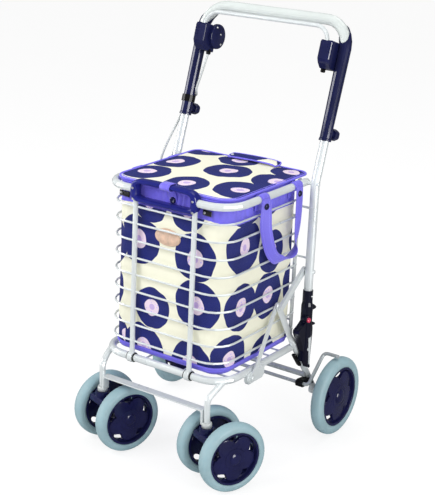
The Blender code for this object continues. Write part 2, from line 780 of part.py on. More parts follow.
def post(side_name, side):
    x = side * POST_X
    foot = (x, post_line(POST_FOOT), POST_FOOT)
    path = [foot, (x, post_line(RIM_Z), RIM_Z), arm(x, POST_UPPER)]
    node = tube(f"post_{side_name}", rounded(path, [0.05], 4), POST_RADIUS, 16)
    pin_radius = bore(PIN_RADIUS, 12)
    pivot = (PIVOT_Y, RING_Z)
    rim_hole = (rear_line(RIM_Z), RIM_Z)
    brace_pin = (post_line(BRACE_POST_Z), BRACE_POST_Z)
    join(node, across(f"brace_pin_{side_name}", brace_pin, side * 0.1690, side * 0.180, PIN_RADIUS, 12))
    cut(
        node,
        across(f"pivot_hole_{side_name}", pivot, side * 0.165, side * 0.2, pin_radius, 12),
        across(f"rim_hole_{side_name}", rim_hole, side * 0.165, side * 0.1855, pin_radius, 12),
    )
    pivot_at(node, (x, *pivot))
    return finish(node, WHITE)


def lock_housing(side_name, side):
    """A moulded collar round the foot of the post, with a three-cornered guard and a boss for the button."""
    guard = [(PIVOT_Y + y, RING_Z + z) for y, z in GUARD_OUTLINE]
    housing = slab(f"lock_housing_{side_name}", guard, side * GUARD_X[0], side * GUARD_X[1])
    x = side * POST_X
    matrix = frame_on((x, post_line(RING_Z), RING_Z), (0, post_line(1) - post_line(0), 1), (1, 0, 0))
    step_low, step_high = COLLAR_STEP
    inside = POST_RADIUS - 0.001
    profile = [
        (inside, COLLAR_TOP), (COLLAR_NARROW, COLLAR_TOP), (COLLAR_NARROW, step_high),
        (COLLAR_WIDE, step_low), (COLLAR_WIDE, COLLAR_FOOT), (inside, COLLAR_FOOT),
    ]
    pieces = [turned(f"collar_{side_name}", profile, 16, matrix)]
    for name, outline in TAB_OUTLINES.items():
        tab = [(PIVOT_Y + y, RING_Z + z) for y, z in outline]
        pieces.append(slab(f"tab_{name}_{side_name}", tab, side * TAB_X[0], side * TAB_X[1]))
    boss_ends = side * POST_X, side * HOUSING_HIGH_X
    pieces.append(across(f"button_boss_{side_name}", button_yz(), *boss_ends, BOSS_RADIUS, 12))
    join(housing, *pieces)
    low, high = RING_Z + COLLAR_FOOT, RING_Z + COLLAR_TOP
    bag_side = (side * 0.16, PIVOT_Y - 0.05, low - 0.03), (side * HOUSING_LOW_X, PIVOT_Y + 0.05, high + 0.01)
    ends = [(x, post_line(z), z) for z in (POST_FOOT - 0.001, high + 0.007)]
    past = side * (HOUSING_HIGH_X + 0.005)
    cut(
        housing,
        block(f"bag_side_{side_name}", *bag_side),
        rod(f"post_bore_{side_name}", *ends, bore(POST_RADIUS, 16), 16),
        across(f"pin_bore_{side_name}", (PIVOT_Y, RING_Z), side * 0.16, past, bore(PIN_RADIUS, 12)),
        across(f"button_bore_{side_name}", button_yz(), side * BUTTON_BORE_X, past, bore(BUTTON_RADIUS, 12)),
    )
    pivot_at(housing, (x, PIVOT_Y, RING_Z))
    return finish(housing, NAVY)


def button_yz():
    return PIVOT_Y + BUTTON_FROM_PIVOT[0], RING_Z + BUTTON_FROM_PIVOT[1]


def lock_button(side_name, side):
    """A push button with a domed end."""
    matrix = frame_on((side * BUTTON_SEAT_X, *button_yz()), (side, 0, 0), (0, 0, 1))
    profile = [
        (0, BUTTON_LENGTH), (BUTTON_RADIUS * 0.70, BUTTON_LENGTH * 0.96),
        (BUTTON_RADIUS * 0.95, BUTTON_LENGTH * 0.83), (BUTTON_RADIUS, BUTTON_LENGTH * 0.64),
        (BUTTON_RADIUS, 0), (0, 0),
    ]
    return finish(turned(f"lock_button_{side_name}", profile, 12, matrix, closed=False), RED)


def stay_channel(side_name, side):
    """A folded channel from the knee up to the post, open towards the bag."""
    brace_pin = (post_line(BRACE_POST_Z), BRACE_POST_Z)
    low, high = side * BRACE_LOW_X, side * BRACE_HIGH_X
    half = BRACE_WIDTH / 2
    node = slab(f"stay_channel_{side_name}", stadium(KNEE, brace_pin, half, 6), low, high)
    hollow = slab(
        f"channel_hollow_{side_name}",
        stadium(KNEE, brace_pin, half - BRACE_WALL, 6),
        side * (BRACE_LOW_X - 0.002),
        side * (BRACE_HIGH_X - BRACE_WALL),
    )
    hole = across(f"channel_hole_{side_name}", brace_pin, side * 0.16, side * 0.18, bore(PIN_RADIUS, 12))
    cut(node, hollow, hole)
    pivot_at(node, (side * POST_X, *brace_pin))
    return finish(node, WHITE)


def rear_grille():
    """Two pierced strips that carry the wires' rear pins, with cross bars and spacers to the posts."""
    low, high = RING_Z + 0.018, RIM_Z + GRILLE_ABOVE_RIM
    pieces = []
    strips = []
    for side_name, side in SIDES.items():
        outline = [
            (rear_line(low) - 0.0045, low), (rear_line(low) + 0.0065, low),
            (rear_line(high) + 0.0065, high), (rear_line(high) - 0.0045, high),
        ]
        inner = side * (GRILLE_X - GRILLE_THICKNESS / 2)
        outer = side * (GRILLE_X + GRILLE_THICKNESS / 2)
        strips.append(slab(f"grille_strip_{side_name}", outline, inner, outer))
        for number in (1, 4):
            z = wire_z(number) - WIRE_STEP / 2
            yz = (rear_line(z) + 0.0045, z)
            end = side * (HOUSING_LOW_X - CLEAR)
            pieces.append(across(f"spacer_{side_name}_{number}", yz, inner, end, SPACER_RADIUS, 8))
    for i in range(GRILLE_BARS):
        z = wire_z(WIRE_COUNT - 0.5) + (wire_z(0.5) - wire_z(WIRE_COUNT - 0.5)) * i / (GRILLE_BARS - 1)
        yz = (rear_line(z) + 0.0025, z)
        pieces.append(across(f"grille_bar_{i}", yz, -GRILLE_X, GRILLE_X, GRILLE_BAR_RADIUS, 8))
    node = strips[0]
    node.name = "rear_grille"
    join(node, strips[1], *pieces)
    holes = []
    for number in range(1, WIRE_COUNT + 1):
        z = wire_z(number)
        for side_name, side in SIDES.items():
            ends = side * (GRILLE_X - 0.003), side * (GRILLE_X + 0.003)
            hole = bore(WIRE_RADIUS, WIRE_SIDES)
            name = f"strip_hole_{side_name}_{number}"
            holes.append(across(name, (rear_line(z), z), *ends, hole, WIRE_SIDES))
    cut(node, *holes)
    pivot_at(node, (0, PIVOT_Y, RING_Z))
    return finish(node, WHITE)


# Rim, wires and front gate

def rim(side_name, side):
    """Half of the rim: a J-shaped tube from the post's pin round the corner into the front handle."""
    rear, front = rear_line(RIM_Z), front_line(RIM_Z)
    path = [(side * (FRONT_TUBE_X + 0.0005), front), (side * RIM_X, front), (side * RIM_X, rear + 0.006)]
    points = rounded([(x, y, RIM_Z) for x, y in path], [BEND_RADIUS], 5)
    node = tube(f"rim_{side_name}", points, RING_TUBE_RADIUS, 12)
    join(node, across(f"rim_pin_{side_name}", (rear, RIM_Z), side * 0.160, side * 0.1850, PIN_RADIUS, 12))
    pivot_at(node, (side * RIM_X, rear, RIM_Z))
    return finish(node, WHITE)


def basket_wire(number):
    """A wire bent round three sides of the bag, its ends turned in as pins."""
    z = wire_z(number)
    rear, front = rear_line(z), front_line(z)
    end = GRILLE_X - GRILLE_THICKNESS / 2 - 0.0015
    path = [(-end, rear), (-WIRE_X, rear), (-WIRE_X, front), (WIRE_X, front), (WIRE_X, rear), (end, rear)]
    radii = [0.003, WIRE_BEND, WIRE_BEND, 0.003]
    points = []
    corners = [Vector((x, y, z)) for x, y in path]
    for i, radius in enumerate(radii):
        steps = 2 if radius < 0.01 else 5
        points += fillet(*corners[i : i + 3], radius, steps)
    node = tube(f"wire_{number}", [corners[0], *points, corners[-1]], WIRE_RADIUS, WIRE_SIDES)
    pivot_at(node, (0, rear, z))
    return finish(node, WHITE)


def front_tube(side_name, side):
    """An upright that hinges on the ring by its eye and guides every wire."""
    x = side * FRONT_TUBE_X
    foot, top = RING_Z + EYE_RADIUS - 0.002, RIM_Z - FRONT_TUBE_DROP
    node = rod(f"front_tube_{side_name}", (x, front_line(foot), foot), (x, front_line(top), top),
               FRONT_TUBE_RADIUS, 12)
    axis = (front_line(RING_Z), RING_Z)
    join(node, across(f"eye_{side_name}", axis, x - EYE_HALF, x + EYE_HALF, EYE_RADIUS, 16))
    holes = [across(f"eye_hole_{side_name}", axis, x - 0.01, x + 0.01, bore(RING_TUBE_RADIUS, 12), 12)]
    for number in range(1, WIRE_COUNT + 1):
        z = wire_z(number)
        hole = bore(WIRE_RADIUS, WIRE_SIDES)
        name = f"wire_hole_{side_name}_{number}"
        holes.append(across(name, (front_line(z), z), x - 0.01, x + 0.01, hole, WIRE_SIDES))
    cut(node, *holes)
    pivot_at(node, (x, *axis))
    return finish(node, WHITE)


def front_handle():
    """A moulded hand hold that ties the two rim tubes and the two uprights together."""
    outer, window = mirrored(GATE_OUTLINE), mirrored(GATE_WINDOW)
    middle = front_line(RIM_Z)
    low, high = middle - GATE_DEPTH / 2, middle + GATE_DEPTH / 2
    node = loft("front_handle", [[(x, y, RIM_Z + z) for x, z in outer] for y in (low, high)])
    edges = node.modifiers.new("edges", "BEVEL")
    edges.width = 0.0025
    edges.segments = 1
    edges.limit_method = "ANGLE"
    edges.angle_limit = math.radians(60)
    loops = [[(x, y, RIM_Z + z) for x, z in window] for y in (low - 0.01, high + 0.01)]
    cutters = [loft("gate_window", loops)]
    for side_name, side in SIDES.items():
        axis = (middle, RIM_Z)
        ends = side * FRONT_TUBE_X, side * (GATE_X + 0.015)
        cutters.append(across(f"rim_bore_{side_name}", axis, *ends, bore(RING_TUBE_RADIUS, 12), 12))
        x = side * FRONT_TUBE_X
        socket = [(x, front_line(z), z) for z in (RIM_Z - 0.0365, RIM_Z - FRONT_TUBE_DROP + CLEAR)]
        cutters.append(rod(f"socket_{side_name}", *socket, bore(FRONT_TUBE_RADIUS, 12), 12))
    cut(node, *cutters)
    pivot_at(node, (0, front_line(RING_Z), RING_Z))
    return finish(node, NAVY)


# Handle and hand brake

def handle_grip():
    path = [
        arm(-POST_X, GRIP_FOOT), arm(-POST_X, GRIP_ALONG), arm(POST_X, GRIP_ALONG), arm(POST_X, GRIP_FOOT),
    ]
    node = tube("handle_grip", rounded(path, [GRIP_CORNER] * 2, 6), GRIP_RADIUS, 16)
    return finish(node, WHITE)


def arm_loop(side, radius, station):
    """A loop round the arm and past its bend, where station turns a place behind into a distance up."""
    points = []
    for outward, behind in circle(radius, 16):
        along = station(behind)
        turn = max(0.0, along - BEND_ALONG) / GRIP_CORNER
        reach = GRIP_CORNER + outward
        x = POST_X - GRIP_CORNER + reach * math.cos(turn)
        points.append(arm(side * x, min(along, BEND_ALONG) + reach * math.sin(turn), behind))
    return points


def sleeve_solid(name, side, grow=0.0):
    """The sleeve's outside, which follows the grip round its bend to a cut that rises from front to back."""
    lip = SLEEVE_RADIUS_LOW + SLEEVE_LIP
    straight = [
        (SLEEVE_LOW, lip), (SLEEVE_LOW + 0.004, lip), (SLEEVE_LOW + 0.006, SLEEVE_RADIUS_LOW),
        (BEND_ALONG, SLEEVE_RADIUS_HIGH),
    ]
    loops = [arm_loop(side, radius + grow, lambda behind, along=along: along) for along, radius in straight]
    for share in (0.34, 0.67, 1.0):
        loops.append(arm_loop(
            side,
            SLEEVE_RADIUS_HIGH + grow,
            lambda behind, share=share: BEND_ALONG + share * (SLEEVE_PAST_BEND + SLEEVE_SCARF * behind),
        ))
    return loft(name, loops)


def handle_sleeve(side_name, side):
    """A tapered sleeve over the post and the foot of the grip."""
    x = side * POST_X
    seat = GRIP_FOOT - 0.0025
    node = sleeve_solid(f"handle_sleeve_{side_name}", side)
    boss = rod(f"knob_boss_{side_name}", arm(x, KNOB_ALONG, 0.0110), arm(x, KNOB_ALONG, 0.0205), 0.0075, 12)
    join(node, boss)
    post_ends = arm(x, SLEEVE_LOW - 0.01), arm(x, seat + 0.001)
    bends = [GRIP_CORNER * math.radians(degrees) for degrees in range(0, 76, 15)]
    wide = bore(GRIP_RADIUS, 16)
    grip_loops = [
        arm_loop(side, wide, lambda behind, along=along: along)
        for along in (seat, *[BEND_ALONG + bend for bend in bends])
    ]
    shank = arm(x, KNOB_ALONG, 0.0090), arm(x, KNOB_ALONG, 0.0300)
    cut(
        node,
        rod(f"post_way_{side_name}", *post_ends, bore(POST_RADIUS, 16), 16),
        loft(f"grip_way_{side_name}", grip_loops),
        rod(f"shank_bore_{side_name}", *shank, bore(SHANK_RADIUS, 12), 12),
    )
    return finish(node, NAVY)


def clamp_knob(side_name, side):
    x = side * POST_X
    matrix = frame_on(arm(x, KNOB_ALONG), arm(0, 0, 1) - arm(0, 0), (1, 0, 0))
    loops = []
    for z, share in ((0, 0.90), (0.002, 1), (KNOB_LENGTH - 0.003, 1), (KNOB_LENGTH, 0.82)):
        loop = []
        for i in range(24):
            turn = math.tau * i / 24
            r = KNOB_RADIUS * share * (1 - 0.07 * (1 + math.cos(6 * turn)) / 2)
            loop.append((r * math.cos(turn), r * math.sin(turn), KNOB_BEHIND + z))
        loops.append(loop)
    node = moved(loft(f"clamp_knob_{side_name}", loops), matrix)
    ends = arm(x, KNOB_ALONG, SHANK_FOOT), arm(x, KNOB_ALONG, 0.025)
    join(node, rod(f"shank_{side_name}", *ends, SHANK_RADIUS, 12))
    pivot_at(node, arm(x, KNOB_ALONG))
    return finish(node, NAVY)


def brake_bracket(side_name, side):
    """A moulded bracket that holds the brake bar's end in a slot and hugs the sleeve."""
    inner, outer = side * BRACKET_X[0], side * BRACKET_X[1]
    outline = [(BAR_PIVOT + along, behind) for along, behind in BRACKET_OUTLINE]
    node = slab(f"brake_bracket_{side_name}", arm_outline(outline), inner, outer)
    edges = node.modifiers.new("edges", "BEVEL")
    edges.width = 0.0015
    edges.segments = 1
    edges.limit_method = "ANGLE"
    edges.angle_limit = math.radians(50)
    if side_name == "right":
        centre = arm_outline([(BAR_PIVOT + DISC_FROM_PIVOT[0], DISC_FROM_PIVOT[1])])[0]
        disc = across("drum_disc", centre, side * DISC_X[0], side * DISC_X[1], DISC_RADIUS, 28)
        join(node, disc)
    pivot = arm_outline([(BAR_PIVOT, -BAR_AHEAD)])[0]
    front = -BAR_AHEAD - BAR_EYE_RADIUS - 0.0007
    slot = [
        (BAR_PIVOT - 0.0070, front), (BAR_PIVOT - 0.0070, 0.0068 - BAR_AHEAD),
        (BAR_PIVOT + 0.0010, 0.0068 - BAR_AHEAD), (BAR_PIVOT + 0.0400, 0.0210 - BAR_AHEAD),
        (BAR_PIVOT + 0.0400, front),
    ]
    half = BAR_RADIUS + 0.0007
    cut(
        node,
        slab(f"bar_slot_{side_name}", arm_outline(slot), side * (BAR_X - half), side * (BAR_X + half)),
        sleeve_solid(f"sleeve_saddle_{side_name}", side, 2 * CLEAR),
    )
    pin = across(f"bar_pin_{side_name}", pivot, side * (BAR_X - half - 0.001), side * (BAR_X + half + 0.001),
                 BAR_PIN_RADIUS, 8)
    join(node, pin)
    return finish(node, NAVY)


def cable_clip():
    """A band round the right sleeve that holds the brake cable."""
    side = SIDES["right"]
    x = side * POST_X
    matrix = frame_on(arm(x, 0), arm(0, 1) - arm(0, 0), (1, 0, 0))
    inner = bore(SLEEVE_RADIUS_LOW + 0.0003, 16)
    low, high = CLIP_ALONG
    profile = [(inner, high), (inner + 0.002, high), (inner + 0.002, low), (inner, low)]
    node = turned("cable_clip", profile, 16, matrix)
    centre = x + side * CABLE_OFFSET
    ends = [arm(centre, along, CABLE_OFFSET) for along in CLIP_ALONG]
    join(node, rod("clip_lug", *ends, 0.0048, 10))
    long_ends = [arm(x, along) for along in (low - 0.01, high + 0.01)]
    cable_ends = [arm(centre, along, CABLE_OFFSET) for along in (low - 0.01, high + 0.01)]
    cut(
        node,
        rod("clip_bore", *long_ends, inner, 16),
        rod("clip_cable_hole", *cable_ends, bore(CABLE_RADIUS, 10), 10),
    )
    return finish(node, BLACK)


def brake_bar():
    path = [
        arm(-BAR_X, BAR_PIVOT, -BAR_AHEAD), arm(-BAR_X, BAR_TOP, -BAR_AHEAD),
        arm(BAR_X, BAR_TOP, -BAR_AHEAD), arm(BAR_X, BAR_PIVOT, -BAR_AHEAD),
    ]
    node = tube("brake_bar", rounded(path, [BAR_CORNER] * 2, 6), BAR_RADIUS, 10)
    pivot = arm_outline([(BAR_PIVOT, -BAR_AHEAD)])[0]
    half = BAR_RADIUS
    eyes = [
        across(f"bar_eye_{name}", pivot, side * (BAR_X - half), side * (BAR_X + half), BAR_EYE_RADIUS, 12)
        for name, side in SIDES.items()
    ]
    join(node, *eyes)
    holes = [
        across(f"bar_hole_{name}", pivot, side * (BAR_X - 0.01), side * (BAR_X + 0.01),
               bore(BAR_PIN_RADIUS, 8), 8)
        for name, side in SIDES.items()
    ]
    cut(node, *holes)
    pivot_at(node, arm(0, BAR_PIVOT, -BAR_AHEAD))
    return finish(node, WHITE)


def brake_rod():
    """A bent rod whose ends bear down on the rear tyres, with a lever for the cable."""
    half = [(ROD_END_X, *ROD_TIP), (ROD_TIP_X, *ROD_TIP), (ROD_ARM_X, *ROD_YZ)]
    path = half + [(-x, y, z) for x, y, z in reversed(half)]
    node = tube("brake_rod", rounded(path, [0.010, 0.008, 0.008, 0.010], 3), ROD_RADIUS, 10)
    y, z = ROD_YZ
    outline = stadium((y, z), (y - 0.015, z + 0.021), 0.0065, 5)
    join(node, slab("rod_lever", outline, -0.1300, -0.1260))
    pivot_at(node, (0, y, z))
    return finish(node, WHITE)


def cable_upper_points():
    """The held cable on the handle, from the bracket down to its clip."""
    side = SIDES["right"]
    clip = side * (POST_X + CABLE_OFFSET)
    return [
        arm(side * 0.1590, 0.2352, -0.0120),
        arm(side * 0.1592, 0.2250, -0.0135),
        arm(side * 0.1600, 0.2120, -0.0160),
        arm(side * 0.1640, 0.1980, -0.0185),
        arm(side * 0.1720, 0.1850, -0.0200),
        arm(side * 0.1830, 0.1720, -0.0190),
        arm(side * 0.1930, 0.1610, -0.0130),
        arm(side * 0.1985, 0.1520, -0.0030),
        arm(side * 0.1985, 0.1440, 0.0070),
        arm(clip, 0.1360, CABLE_OFFSET),
        arm(clip, 0.1280, CABLE_OFFSET),
    ]


def cable_lower_points():
    """The held cable from its clip down outside the post to the brake rod's lever."""
    side = SIDES["right"]
    clip = side * (POST_X + CABLE_OFFSET)
    held = [arm(clip, 0.1274, CABLE_OFFSET), arm(clip, 0.1190, CABLE_OFFSET)]
    run = [Vector((side * (POST_X + x), y, RING_Z + BASKET_HEIGHT * share)) for x, y, share in CABLE_RUN]
    return held + run + [Vector((side * x, y, z)) for x, y, z in CABLE_TAIL]


def brake_cable(name, points):
    return finish(tube(name, points, CABLE_RADIUS, 8), WHITE)


# Bag and lid

def bag_outline(z, inset, wall=0.0):
    """The bag's rounded rectangle at a height, its front corners wide and its rear corners tight."""
    x = BAG_X - inset - wall
    front = front_line(z) + BAG_FRONT_GAP + inset + wall
    rear = rear_line(z) - BAG_REAR_GAP - inset - wall
    corner = BAG_CORNER - wall
    back = BAG_REAR_CORNER - wall
    points = circle(corner, 5, (corner - x, front + corner), math.pi, math.pi / 2)
    points += circle(corner, 5, (x - corner, front + corner), math.pi * 1.5, math.pi / 2)
    points += circle(back, 3, (x - back, rear - back), 0, math.pi / 2)
    points += circle(back, 3, (back - x, rear - back), math.pi / 2, math.pi / 2)
    return [(px, py, z) for px, py in points]


def bag():
    """An open-topped cloth bag that stands inside the wires."""
    levels = [(BAG_BOTTOM, 0.010), (BAG_BOTTOM + 0.010, 0.002), (BAG_BOTTOM + 0.016, 0), (BAG_TOP, 0)]
    node = loft("bag", [bag_outline(z, inset) for z, inset in levels])
    inner = [(BAG_BOTTOM + BAG_WALL, 0.010), (BAG_BOTTOM + 0.016, 0.0005), (BAG_TOP + 0.01, 0.0005)]
    cut(node, loft("bag_hollow", [bag_outline(z, inset, BAG_WALL) for z, inset in inner]))
    return finish(node, CLOTH)


def lid():
    """A stiffened cloth panel that lies on the rim and hinges behind it."""
    low, high = LID_LOW, LID_LOW + LID_THICKNESS
    corner, back = LID_CORNER, LID_REAR_CORNER
    lid_front = front_line(RIM_Z) + GATE_DEPTH / 2 + LID_FRONT_GAP
    lid_rear = rear_line(RIM_Z) + LID_BEHIND_RIM
    loops = []
    for z, inset in ((low, 0.0015), (low + 0.0015, 0), (high - 0.002, 0), (high, 0.003)):
        x = LID_X - inset
        front, rear = lid_front + inset, lid_rear - inset
        outline = circle(corner, 5, (corner - x, front + corner), math.pi, math.pi / 2)
        outline += circle(corner, 5, (x - corner, front + corner), math.pi * 1.5, math.pi / 2)
        outline += circle(back, 3, (x - back, rear - back), 0, math.pi / 2)
        outline += circle(back, 3, (back - x, rear - back), math.pi / 2, math.pi / 2)
        loops.append([(px, py, z) for px, py in outline])
    node = loft("lid", loops)
    pivot_at(node, (0, lid_rear, LID_LOW))
    return finish(node, LID_BLUE)


def centre_on_origin():
    for obj in bpy.data.objects:
        obj.matrix_world = Matrix.Translation((0, AXLE_Y, 0)) @ obj.matrix_world


def build():
    bottom_ring()
    caster_crossbar()
    rear_cross_tube()
    rear_grille()
    for side_name, side in SIDES.items():
        rear_wheel(side_name, side)
        caster(side_name, side)
        side_stay(side_name, side)
        rear_leg(side_name, side)
        rod_bearing(side_name, side)
        post(side_name, side)
        lock_housing(side_name, side)
        lock_button(side_name, side)
        stay_channel(side_name, side)
        rim(side_name, side)
        front_tube(side_name, side)
        handle_sleeve(side_name, side)
        clamp_knob(side_name, side)
        brake_bracket(side_name, side)
    for number in range(1, WIRE_COUNT + 1):
        basket_wire(number)
    front_handle()
    handle_grip()
    cable_clip()
    brake_bar()
    brake_rod()
    brake_cable("brake_cable_upper", cable_upper_points())
    brake_cable("brake_cable_lower", cable_lower_points())
    bag()
    lid()
    bpy.context.view_layer.update()
    centre_on_origin()
    bpy.context.view_layer.update()


clear_scene()
CART = new_collection("cart")
build()
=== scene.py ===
"""Looks of the shopping rollator: finishes on the CAD pieces, the sewn bag and lid, webbing and small hardware.

Everything is in metres in the CAD frame: +Z up, the casters lead towards -Y, and +X is the user's left.
"""

import json
from math import asin, copysign, cos, exp, hypot, pi, radians, sin, sqrt, tau

import bmesh
import bpy
import numpy as np
from mathutils import Matrix, Vector, noise


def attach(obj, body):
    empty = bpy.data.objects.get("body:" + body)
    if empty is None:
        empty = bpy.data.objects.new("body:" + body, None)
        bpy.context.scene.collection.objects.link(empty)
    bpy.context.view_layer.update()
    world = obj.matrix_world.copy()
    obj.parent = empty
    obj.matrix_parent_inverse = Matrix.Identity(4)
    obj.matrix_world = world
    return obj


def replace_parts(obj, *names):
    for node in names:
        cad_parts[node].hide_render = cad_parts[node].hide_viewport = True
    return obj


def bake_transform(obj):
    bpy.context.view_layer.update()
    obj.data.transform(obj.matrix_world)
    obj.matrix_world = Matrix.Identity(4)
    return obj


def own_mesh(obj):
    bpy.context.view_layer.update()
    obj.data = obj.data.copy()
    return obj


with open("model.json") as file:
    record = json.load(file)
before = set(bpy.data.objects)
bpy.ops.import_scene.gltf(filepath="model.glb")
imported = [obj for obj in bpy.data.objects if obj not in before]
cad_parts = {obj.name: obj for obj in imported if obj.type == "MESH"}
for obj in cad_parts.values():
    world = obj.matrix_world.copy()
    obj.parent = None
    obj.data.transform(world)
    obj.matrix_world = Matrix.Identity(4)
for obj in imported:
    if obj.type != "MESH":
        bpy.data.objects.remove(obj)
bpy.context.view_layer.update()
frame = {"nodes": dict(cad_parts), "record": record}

# Shared lines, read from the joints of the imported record
JOINTS = {joint["name"]: joint for joint in frame["record"]["behaviour"]["joints"]}
NODE_SLOTS = {part["node"]: part["material_slot"] for part in frame["record"]["subparts"]}
SIDES = {"left": 1, "right": -1}


def joint_at(name):
    return Vector(JOINTS[name]["pos_m"])


PIVOT = joint_at("fold")
RIM = joint_at("rim_level")
AXLE = joint_at("rear_wheel_left_roll")
ARM_UP = Vector(JOINTS["handle_height"]["axis"]).normalized()
ARM_BACK = Vector((1, 0, 0)).cross(ARM_UP) * -1
REACH = PIVOT.y - joint_at("gate_fold").y
LEAN = (RIM.y - PIVOT.y) / (RIM.z - PIVOT.z)
WIRES = [f"wire_{number}" for number in range(1, 10)]
WIRE_STEP = (RIM.z - PIVOT.z) / (len(WIRES) + 1)

# Camera, solved from the photograph
CAMERA_AT = Vector((1.5196, -2.1305, 1.3210))
CAMERA_AZIMUTH = radians(35.34)
CAMERA_ELEVATION = radians(18.75)
CAMERA_ROLL = radians(1.66)
CAMERA_LENS = 94.05

# Frame sizes that the trims follow
RIM_TUBE = 0.008
RIM_X = 0.1587
POST_X = 0.182
POST_RADIUS = 0.0095
POST_OFFSET = 0.0021
FRONT_TUBE_X = 0.075

# Wheels: the tyre's radius and half width, the hub's radius, half width and axle, the cap's radius, foot and top
WHEELS = {
    "rear": {"tyre": (0.0888, 0.0139), "hub": (0.0675, 0.0130, 0.0063), "cap": (0.0175, 0.0122, 0.0181)},
    "caster": {"tyre": (0.0748, 0.0149), "hub": (0.0577, 0.0140, 0.0043), "cap": (0.0135, 0.0132, 0.0168)},
}
TYRE_NOTCHES = 54
TYRE_STEPS = 4 * TYRE_NOTCHES
NOTCH_DEPTH = 0.00055
HUB_STEPS = 120
HUB_ARMS = 5
FIT = 0.0002

# Bag
BAG_X = 0.1445
BAG_FRONT_GAP = 0.0125
BAG_REAR_GAP = 0.0062
BAG_CORNER = 0.040
BAG_REAR_CORNER = 0.012
BAG_TOP = RIM.z + 0.0075
BAG_BOTTOM = PIVOT.z + 0.0048
BAG_FOOT_ROUND = 0.012
SIDE_ROOM = 0.0024
BAND_LOW = RIM.z - 0.0385
PIPING_Z = BAG_BOTTOM + 0.0160
PIPING_RADIUS = 0.0022
CLOTH_THICKNESS = 0.0018
BELT_KEEP = 0.27
LOOP_PITCH = 0.0040
ROW_PITCH = 0.0052
WELD = 0.00001
SEAM_REACH = 0.0150
SEAM_STEP = 0.0050

# Lid
LID_LOW = RIM.z + RIM_TUBE + 0.0006
LID_EDGE = 0.0050
LID_MIDDLE = LID_LOW + LID_EDGE / 2
LID_CROWN = 0.0060
LID_X = 0.1500
LID_FRONT = 0.0130
LID_BEHIND = 0.0334
LID_CORNER = 0.036
LID_REAR_CORNER = 0.020
LID_PIPING = 0.0026
LID_PITCH = 0.012

# Webbing
STRAP_WIDTH = 0.025
STRAP_THICKNESS = 0.0016

# The lower cable's route: past the post, from the rear axle and up the basket by its height, then its end
CABLE_RUN = [
    (0.0145, -0.030, 1.2551), (0.0175, -0.044, 1.1869), (0.0240, -0.058, 1.1132), (0.0330, -0.067, 1.0368),
    (0.0420, -0.072, 0.9550), (0.0465, -0.074, 0.8595), (0.0470, -0.073, 0.7367), (0.0450, -0.071, 0.6003),
    (0.0400, -0.071, 0.4502), (0.0330, -0.075, 0.3001), (0.0260, -0.084, 0.1637), (0.0210, -0.094, 0.0409),
]
CABLE_TAIL = [
    (0.1980, -0.101, 0.200), (0.1880, -0.103, 0.172), (0.1720, -0.099, 0.154), (0.1530, -0.090, 0.146),
    (0.1370, -0.0785, 0.1455), (0.1310, -0.0765, 0.1460),
]

# Print on the cloth
ROUND_CELL = 0.112
ROUND_RADIUS = 0.0520
CENTRE_RADIUS = 0.0190
HEART_RADIUS = 0.0075
DOT_CELL = 0.0058
WEAVE_PITCH = 0.0007

# Colours, linear
ENAMEL = (0.740, 0.785, 0.795)
ROD_GREY = (0.500, 0.540, 0.555)
GRIP_WHITE = (0.695, 0.745, 0.728)
NAVY = (0.0095, 0.0120, 0.0620)
HUB_NAVY = (0.0110, 0.0120, 0.0620)
HANDLE_NAVY = (0.0130, 0.0165, 0.1850)
BLACK_NAVY = (0.0050, 0.0055, 0.0190)
BLACK = (0.0060, 0.0060, 0.0070)
TYRE = (0.300, 0.455, 0.505)
VIOLET = (0.178, 0.147, 0.840)
VIOLET_DEEP = (0.100, 0.080, 0.430)
CREAM = (0.890, 0.880, 0.720)
PRINT_NAVY = (0.0085, 0.0150, 0.1580)
PRINT_PINK = (0.820, 0.680, 0.800)
PRINT_HEART = (0.56, 0.42, 0.74)
SHEATH_GREY = (0.560, 0.590, 0.590)
TAN = (0.720, 0.500, 0.370)
RED = (0.780, 0.060, 0.130)
STEEL = (0.560, 0.570, 0.580)


def rear_y(z):
    return PIVOT.y + (z - PIVOT.z) * LEAN


def front_y(z):
    return rear_y(z) - REACH


def arm(x, along, behind=0.0):
    """A point by its distance up the leaning arm and behind the arm's centre line."""
    foot = Vector((x, RIM.y + POST_OFFSET, RIM.z))
    return foot + ARM_UP * along + ARM_BACK * behind


def behind_axle(x, y, z):
    """A point whose Y is measured from the rear axle."""
    return Vector((x, AXLE.y + y, z))


def circle(count):
    """The cosine and sine of each of a circle's even steps."""
    return [(cos(tau * i / count), sin(tau * i / count)) for i in range(count)]


# Node materials

